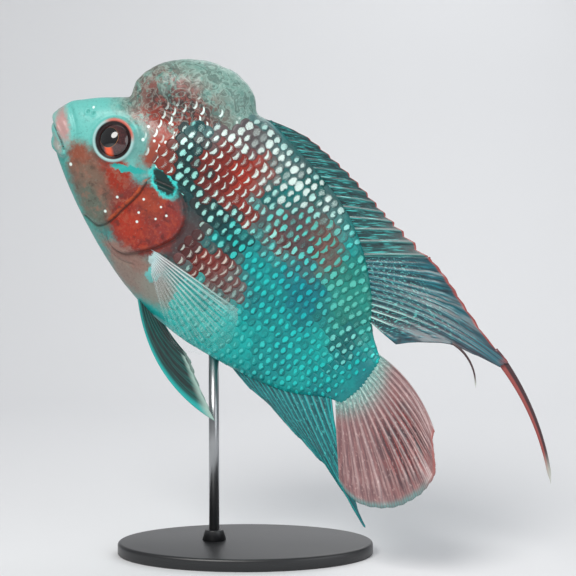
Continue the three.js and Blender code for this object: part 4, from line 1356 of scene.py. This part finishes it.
# %% Grooves, lips and the eye's surround
def groove_shade_and_highlight(finish, u, flat, cloud):
    """Painted shade as dark lines in the grooves, and a painted orange highlight behind the cheek."""
    groove, gill, mouth = finish.split(finish.noted("lines"))
    front = finish.blob(flat, (54, 2), (8, 17), 0, 0.2)
    # Painted shade: a dark line in the cheek groove, stronger near its front.
    finish.lay(finish.ramp(0.9, 0.2, abs(groove)) * (0.35 + front * 0.4), paint(58, 26, 20))
    # Painted highlight: a thin orange line on the ridge just behind the cheek groove.
    behind = finish.ramp(1.0, 0.4, abs(groove + 1.1)) * front * finish.ramp(0.3, 0.6, cloud)
    finish.lay(behind * 0.7, paint(206, 96, 54))
    # Painted shadow: a dark line on the body just outside the gill cover's rear edge.
    edge = finish.ramp(0.9, 0.2, abs(gill + 0.5)) * finish.ramp(50, 58, u)
    finish.lay(edge * 0.4, paint(60, 34, 32))
    return mouth


def mouth_and_eye(finish, flat, near, mouth):
    """Pink lips, painted shade between them, the ring of skin round the eye and painted shade in its socket.
    """
    upper_lip = finish.blob(near, (5.5, 6.2), (8, 3), -37, 0.5)
    finish.lay(upper_lip * 0.85, paint(204, 148, 146))
    lower_lip = finish.blob(near, (9, -2.6), (5, 1.6), -30, 0.6)
    finish.lay(lower_lip * 0.6, paint(190, 150, 146))
    # Painted shade: a dark line in the cut between the lips.
    finish.lay(finish.ramp(0.7, 0.2, mouth) * 0.7, paint(70, 50, 52))
    eye = finish.vector("DISTANCE", flat, (EYE_U, EYE_W, 0), 1)
    red_side = finish.blob(flat, (EYE_U - 1, EYE_W + 8), (9, 4.5), 8, 0.4)
    around = finish.mix(red_side, paint(176, 216, 214), paint(206, 112, 98))
    finish.lay(finish.ramp(10.6, 9.6, eye), around)
    # Painted shade: a dark ring where the skin turns down into the eye's socket.
    finish.lay(finish.ramp(9.2, 8.4, eye), paint(36, 20, 22))


print("eye at", (EYE_U, EYE_W))

# %% Finish of the skin
SKIN_GLOSS = {"roughness": 0.42, "specular_ior_level": 0.35, "coat_weight": 0.2, "coat_roughness": 0.2}
GRAIN_STRENGTH, GRAIN_HEIGHT = 0.35, 0.0004


def skin_finish():
    """Ground colours first, then hump, mottle, nape, gill cover, grooves, mouth and eye."""
    finish = Finish("skin", **SKIN_GLOSS)
    u, w, flat, stirred = fish_place(finish)
    finish.colour = flank_markings(finish, stirred)[0]
    finish.lay(0.25, paint(0, 80, 84))
    for middle, radii, turn, soft, over in HEAD:
        finish.lay(finish.blob(stirred, middle, radii, turn, soft), over)
    hump = finish.blob(stirred, (42, 55), (37, 19), 33, 0.16)
    finish.lay(hump, hump_colour(finish, flat, w))
    solid = finish.noted("place")
    mottle = finish.grain(solid, 0.8, 4, 0.7)
    finish.lay(finish.ramp(0.5, 0.8, mottle) * 0.45, paint(40, 50, 50))
    finish.lay(finish.ramp(0.45, 0.25, mottle) * 0.16, paint(180, 230, 222))
    nape_strokes(finish, u, w, stirred)
    near = stir(finish, flat, finish.grain(flat, 0.42, 3, 0.6, 1), 4.5)
    cloud = finish.grain(near, 0.22, 4, 0.65)
    gill_and_cheek(finish, flat, near, cloud)
    mouth_and_eye(finish, flat, near, groove_shade_and_highlight(finish, u, flat, cloud))
    finish.shine(base_color=finish.colour, roughness=0.34 + mottle * 0.2)
    height = finish.grain(solid, 0.9, 3, 0.6) * 0.5 + finish.grain(solid, 0.25, 2, 0.5)
    lift = {"Strength": GRAIN_STRENGTH, "Distance": GRAIN_HEIGHT, "Height": height}
    finish.shine(normal=finish.node("ShaderNodeBump", None, lift))
    return finish


dress(skin_finish(), skin)

# %% [markdown]
# Each scale has a dark ground and one light mark near its root. On the blue-green body the
# mark is a round dot, and in the red places it is a crescent. Random shares drawn from the
# scale's place change its size, lean and brightness, so no two scales look alike.

# %% Finish of the scales
SCALE_GLOSS = {"roughness": 0.4, "specular_ior_level": 0.3, "coat_weight": 0.12, "coat_roughness": 0.2}


def scale_finish():
    """The body's ground with one light mark on each scale, and a dark halo round it."""
    finish = Finish("scales", **SCALE_GLOSS)
    u, w, flat, stirred = fish_place(finish)
    draws = finish.node("ShaderNodeTexWhiteNoise", None, {"Vector": finish.noted("place")}, 1)
    first, second, third = finish.split(draws)
    stirred = stir(finish, stirred, draws, 8)
    ground, mark, size = flank_markings(finish, stirred)
    s, t, _ = finish.split(finish.noted("scale"))
    swell = finish.ramp(0.36, 0.62, finish.grain(flat, 0.13, 3, 0.6))
    size = size * (0.25 + first * 0.8 + swell * 0.7)
    red, _, blue = finish.split(ground)
    reddish = finish.ramp(0.01, 0.1, red - blue)
    lean = (second - 0.5) * 1.4
    along = s - t * lean * 0.4
    up = t + s * lean * 0.4 + (third - 0.5) * 0.4
    half = 0.13 + size * 0.42 - reddish * 0.06
    reach = 0.42 + size * 0.5 + reddish * 0.26
    ragged = finish.grain(finish.join(s * 3.3 + u, t * 3 + w), 0.5, 3, 0.65) - 0.5
    curve = up * up * reddish * 0.55
    across = abs(along + curve - 0.3 - second * 0.22 + ragged * 0.5) / half + ragged * 1.8
    far = up / reach
    kept = finish.ramp(0.08, 0.16, third)
    square = far * far
    away = across + square * square * 0.9 + square * 0.4
    light = finish.ramp(1.2, 0.85, away) * kept
    dark = finish.mix(0.75, ground, paint(0, 22, 26))
    tone = finish.grain(stirred, 0.5, 3, 0.6)
    finish.colour = finish.mix(finish.ramp(0.4, 0.66, tone) * 0.5, ground, dark)
    finish.lay(finish.ramp(2.6, 1.2, away) * 0.35, dark)
    finish.lay(light * (0.75 + first * 0.22), mark)
    finish.shine(base_color=finish.colour, metallic=light * 0.2, roughness=0.42 - light * 0.14)
    return finish


dress(scale_finish(), *scales)

# %% [markdown]
# Fins are read in their own coordinates: which ray, how far out, and how much of a ray lies
# there. Rays stay light, the web between them dark, and streaks run along the rays.

# %% Finishes of the back fin
FIN_GLOSS = {"roughness": 0.4, "coat_weight": 0.3, "coat_roughness": 0.25}


def fin_coordinates(finish, lines=4, dashes=26):
    """Ray, share out, share of a ray, streaks along the rays and flecks on the web."""
    ray, out, ridge = finish.split(finish.noted("fin"))
    streaks = finish.grain(finish.join(ray * 3.1, out * 5), 1.0, 4, 0.65)
    flecks = finish.grain(finish.join(ray * lines, out * dashes), 1.0, 3, 0.6)
    return ray, out, ridge, streaks, flecks


def back_fin_finish():
    finish = Finish("back_fin", **FIN_GLOSS)
    _, out, ridge, streaks, flecks = fin_coordinates(finish, 9, 2.5)
    finish.colour = finish.mix(finish.ramp(0.35, 0.7, streaks), paint(2, 34, 40), paint(8, 82, 86))
    fleck = finish.ramp(0.5, 0.66, flecks) * finish.ramp(1, 0.4, out)
    finish.lay(fleck, paint(90, 206, 202))
    finish.lay(ridge * 0.3, paint(60, 176, 172))
    finish.lay(finish.ramp(0.94, 0.985, out) * 0.85, paint(176, 72, 66))
    finish.shine(base_color=finish.colour)
    return finish


def soft_fin_finish():
    finish = Finish("soft_back_fin", **FIN_GLOSS)
    ray, out, ridge, streaks, flecks = fin_coordinates(finish)
    web = finish.mix(finish.ramp(0.35, 0.7, streaks), paint(4, 40, 54), paint(10, 96, 108))
    pink = finish.ramp(5, 8, ray) * finish.ramp(12, 9, ray) * finish.ramp(0.3, 0.6, out)
    web = finish.mix(pink * 0.4, web, paint(92, 70, 84))
    finish.colour = finish.mix(ridge * 0.6, web, paint(44, 150, 164))
    near = finish.ramp(0.5, 0.2, out) * finish.ramp(6.5, 10.5, ray)
    finish.lay(near * 0.8, paint(4, 44, 52))
    finish.lay(near * finish.ramp(0.3, 0.75, ridge), paint(206, 246, 240))
    fleck = finish.ramp(0.52, 0.66, flecks) * finish.ramp(0.9, 0.3, out)
    finish.lay(fleck * 0.8, paint(120, 220, 214))
    outer = finish.ramp(0.94, 0.985, out) * finish.ramp(9, 6, ray)
    finish.lay(outer * 0.8, paint(180, 76, 66))
    trail = finish.ramp(0.98, 1.06, out)
    streamer = finish.mix(finish.ramp(7.1, 6.9, ray), paint(70, 46, 50), paint(164, 84, 80))
    finish.lay(trail, streamer)
    finish.lay(finish.ramp(1.75, 1.97, out), paint(206, 208, 200))
    finish.shine(base_color=finish.colour)
    return finish


fins = {piece.name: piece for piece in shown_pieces()}
dress(back_fin_finish(), fins["dorsal_spiny"])
dress(soft_fin_finish(), fins["dorsal_soft"])


# %% Finishes of the anal and tail fins
def anal_fin_finish():
    finish = Finish("anal_fin", **FIN_GLOSS)
    _, out, ridge, streaks, flecks = fin_coordinates(finish)
    web = finish.mix(finish.ramp(0.3, 0.65, streaks), paint(0, 50, 60), paint(0, 122, 128))
    finish.colour = finish.mix(ridge * 0.8, web, paint(30, 206, 204))
    finish.lay(finish.ramp(0.55, 0.7, flecks) * 0.7, paint(110, 226, 220))
    finish.lay(finish.ramp(0.75, 1, out) * 0.5, paint(20, 96, 110))
    finish.shine(base_color=finish.colour)
    return finish


def tail_fin_finish():
    finish = Finish("tail_fin", roughness=0.42, coat_weight=0.3, coat_roughness=0.25)
    ray, out, ridge, streaks, flecks = fin_coordinates(finish)
    web = finish.mix(finish.ramp(0.35, 0.7, streaks), paint(122, 92, 96), paint(164, 122, 122))
    deep = finish.ramp(0.2, 0.5, out) * finish.ramp(1.02, 0.75, out)
    deep = deep * finish.ramp(2, 5, ray) * finish.ramp(12, 8, ray)
    red = finish.mix(finish.ramp(0.45, 0.62, streaks), paint(52, 38, 46), paint(146, 50, 50))
    web = finish.mix(deep * 0.85, web, red)
    finish.colour = finish.mix(ridge * 0.7, web, paint(198, 166, 164))
    near = finish.ramp(0.3, 0, out)
    finish.lay(near * 0.7, paint(110, 180, 174))
    pearls = finish.ramp(0.25, 0.02, out) * finish.ramp(0.5, 0.6, flecks)
    finish.lay(pearls, paint(176, 236, 226))
    finish.lay(finish.ramp(0.55, 0.68, flecks) * 0.45, paint(220, 190, 186))
    rim = finish.ramp(0.93, 0.985, out) * finish.ramp(4, 9, ray)
    finish.lay(rim * (0.4 + ridge * 0.4), paint(90, 170, 168))
    red_rim = finish.ramp(0.93, 0.99, out) * finish.ramp(8, 4, ray)
    finish.lay(red_rim * 0.7, paint(190, 110, 104))
    finish.shine(base_color=finish.colour)
    return finish


dress(anal_fin_finish(), fins["anal"])
dress(tail_fin_finish(), fins["tail"])

# %% [markdown]
# The pectoral fins are nearly clear. Their web lets the scales behind show through, and only
# the rays, the root and the front edge stay solid. That is a finish's alpha, not a gap.

# %% Finishes of the paired fins
def pectoral_finish():
    finish = Finish("pectoral_fin", roughness=0.35, coat_weight=0.3, coat_roughness=0.2)
    ray, out, ridge, streaks, _ = fin_coordinates(finish)
    web = finish.mix(finish.ramp(0.2, 0.6, out), paint(206, 196, 200), paint(130, 214, 206))
    web = finish.mix(finish.ramp(0.35, 0.65, streaks) * 0.35, web, paint(132, 108, 112))
    finish.colour = finish.mix(ridge * 0.8, web, paint(226, 240, 238))
    finish.lay(finish.ramp(0.16, 0, out) * 0.8, paint(190, 226, 230))
    leading = finish.ramp(2.5, 0, ray)
    fade = finish.ramp(1.05, 0.3, out) * (0.5 + finish.ramp(9, 2, ray) * 0.5)
    clear = 0.06 + leading * 0.3 + ridge * (0.1 + fade * 0.45) + finish.ramp(0.2, 0, out) * 0.5
    finish.shine(base_color=finish.colour, alpha=finish.ramp(0, 1, clear))
    return finish


def pelvic_finish():
    finish = Finish("pelvic_fin", **FIN_GLOSS)
    ray, out, ridge, streaks, _ = fin_coordinates(finish)
    web = finish.mix(finish.ramp(0.35, 0.7, streaks), paint(2, 28, 30), paint(8, 60, 58))
    finish.colour = finish.mix(ridge * 0.4, web, paint(30, 130, 122))
    finish.lay(finish.ramp(0.9, 0.25, ray), paint(30, 176, 172))
    finish.lay(finish.ramp(0.86, 1, out), paint(178, 206, 196))
    finish.shine(base_color=finish.colour)
    return finish


dress(pectoral_finish(), fins["pectoral_left"], fins["pectoral_right"])
dress(pelvic_finish(), fins["pelvic_left"], fins["pelvic_right"])

# %% [markdown]
# An eye looks alive when it is wetter than anything round it. Its coat is full and nearly
# smooth, and its pupil sits forward in the iris, as a cichlid's does when it looks ahead.

# %% Finishes of the eyes
PUPIL = (0.24, -0.03, 0)


def eye_finish():
    finish = Finish("eye", roughness=0.12, coat_weight=1.0, coat_roughness=0.02)
    x, y, _ = finish.split(finish.noted("eye"))
    flat = finish.join(x, y)
    iris = finish.grain(flat, 7, 4, 0.7)
    finish.colour = finish.mix(finish.ramp(0.35, 0.7, iris), paint(48, 22, 24), paint(86, 44, 44))
    radial = finish.vector("LENGTH", flat, (0, 0, 0), 1)
    finish.lay(finish.ramp(0.72, 0.86, radial) * 0.7, paint(26, 18, 20))
    pupil = finish.vector("DISTANCE", flat, PUPIL, 1)
    # Painted glow: an orange patch of painted light in the lower iris, below the pupil.
    painted_glow = finish.blob(flat, (-0.22, -0.6), (0.36, 0.2), 40, 0.6)
    finish.lay(painted_glow, paint(238, 92, 22, 1))
    ring = finish.ramp(0.585, 0.565, pupil)
    finish.lay(ring * (0.45 + x * -0.5), paint(214, 150, 96))
    finish.lay(finish.ramp(0.57, 0.55, pupil), paint(5, 6, 9))
    finish.lay(finish.ramp(0.9, 0.95, radial), paint(168, 206, 208))
    finish.shine(base_color=finish.colour)
    return finish


dress(eye_finish(), *eyes)

# %% [markdown]
# The stand stays quiet: satin black plastic and plain steel, each one colour with no pattern.
# A display stand is made to be overlooked, and a plain finish keeps the eye on the fish.

# %% Finishes of the stand
BLACK_GLOSS = {"roughness": 0.38, "coat_weight": 0.2, "coat_roughness": 0.3}
black = Finish("satin_black", base_color=paint(34, 35, 37), **BLACK_GLOSS)
steel = Finish("brushed_steel", base_color=paint(186, 188, 190), roughness=0.3, metallic=1.0)
dress(black, base, boss)
dress(steel, rod)

# %% [markdown]
# The floor is a plain pale sheet that curves up behind the model. Three broad soft lamps give
# shape without hard shadows. The camera keeps the picture's angle and framing.

# %% Floor and lamps
AIM = Vector((20.7, 0, 129)) * MM
FLOOR_SIDE, FLOOR_FRONT, CURVE_START, CURVE_RADIUS = 5, -5, 0.5, 0.4


def lamp(name, place, size, power, colour):
    data = bpy.data.lights.new(name, "AREA")
    data.shape = "DISK"
    data.size = size
    data.energy = power
    data.color = colour
    piece = bpy.data.objects.new(name, data)
    bpy.context.scene.collection.objects.link(piece)
    piece.location = place
    piece.rotation_euler = (AIM - piece.location).to_track_quat("-Z", "Y").to_euler()
    piece.visible_camera = False


floor_line = [(FLOOR_FRONT, 0), (CURVE_START, 0)]
for a in np.linspace(0.1, 1.4, 12):
    floor_line.append((CURVE_START + CURVE_RADIUS * math.sin(a), CURVE_RADIUS * (1 - math.cos(a))))
floor_line += [(0.95, 0.6), (1.0, 2.2)]
floor_points = [(x, y, z) for x in (-FLOOR_SIDE, FLOOR_SIDE) for y, z in floor_line]
steps = len(floor_line)
floor_faces = [(i, i + steps, i + steps + 1, i + 1) for i in range(steps - 1)]
floor = new_object("floor", new_mesh("floor", floor_points, floor_faces))
dress(Finish("pale_floor", base_color=paint(228, 229, 231, 1), roughness=0.8), floor)
lamp("key", (-0.35, -0.75, 0.85), 0.6, 9, (1, 0.98, 0.95))
lamp("fill", (0.8, -0.6, 0.35), 0.9, 3, (0.95, 0.98, 1))
lamp("rim", (0.3, 0.55, 0.8), 0.9, 3, (1, 1, 1))

# %% Camera and surrounding light
CAMERA_DISTANCE = 655 * MM
CAMERA_RISE = math.radians(3)
LENS, SENSOR = 85, 36
SKY_COLOUR, SKY_STRENGTH = (0.9, 0.92, 0.95, 1), 0.36

view = bpy.data.cameras.new("camera")
view.lens = LENS
view.sensor_width = SENSOR
camera = bpy.data.objects.new("camera", view)
bpy.context.scene.collection.objects.link(camera)
away = Vector((0, -math.cos(CAMERA_RISE), math.sin(CAMERA_RISE)))
camera.location = AIM + away * CAMERA_DISTANCE
camera.rotation_euler = (-away).to_track_quat("-Z", "Y").to_euler()
bpy.context.scene.camera = camera

world = bpy.data.worlds.new("studio")
world.use_nodes = True
sky = world.node_tree.nodes["Background"]
sky.inputs["Color"].default_value = SKY_COLOUR
sky.inputs["Strength"].default_value = SKY_STRENGTH
bpy.context.scene.world = world
bpy.context.scene.view_settings.view_transform = "Standard"
print("camera looks at", [round(c, 3) for c in AIM], "from", round(CAMERA_DISTANCE, 3), "m")
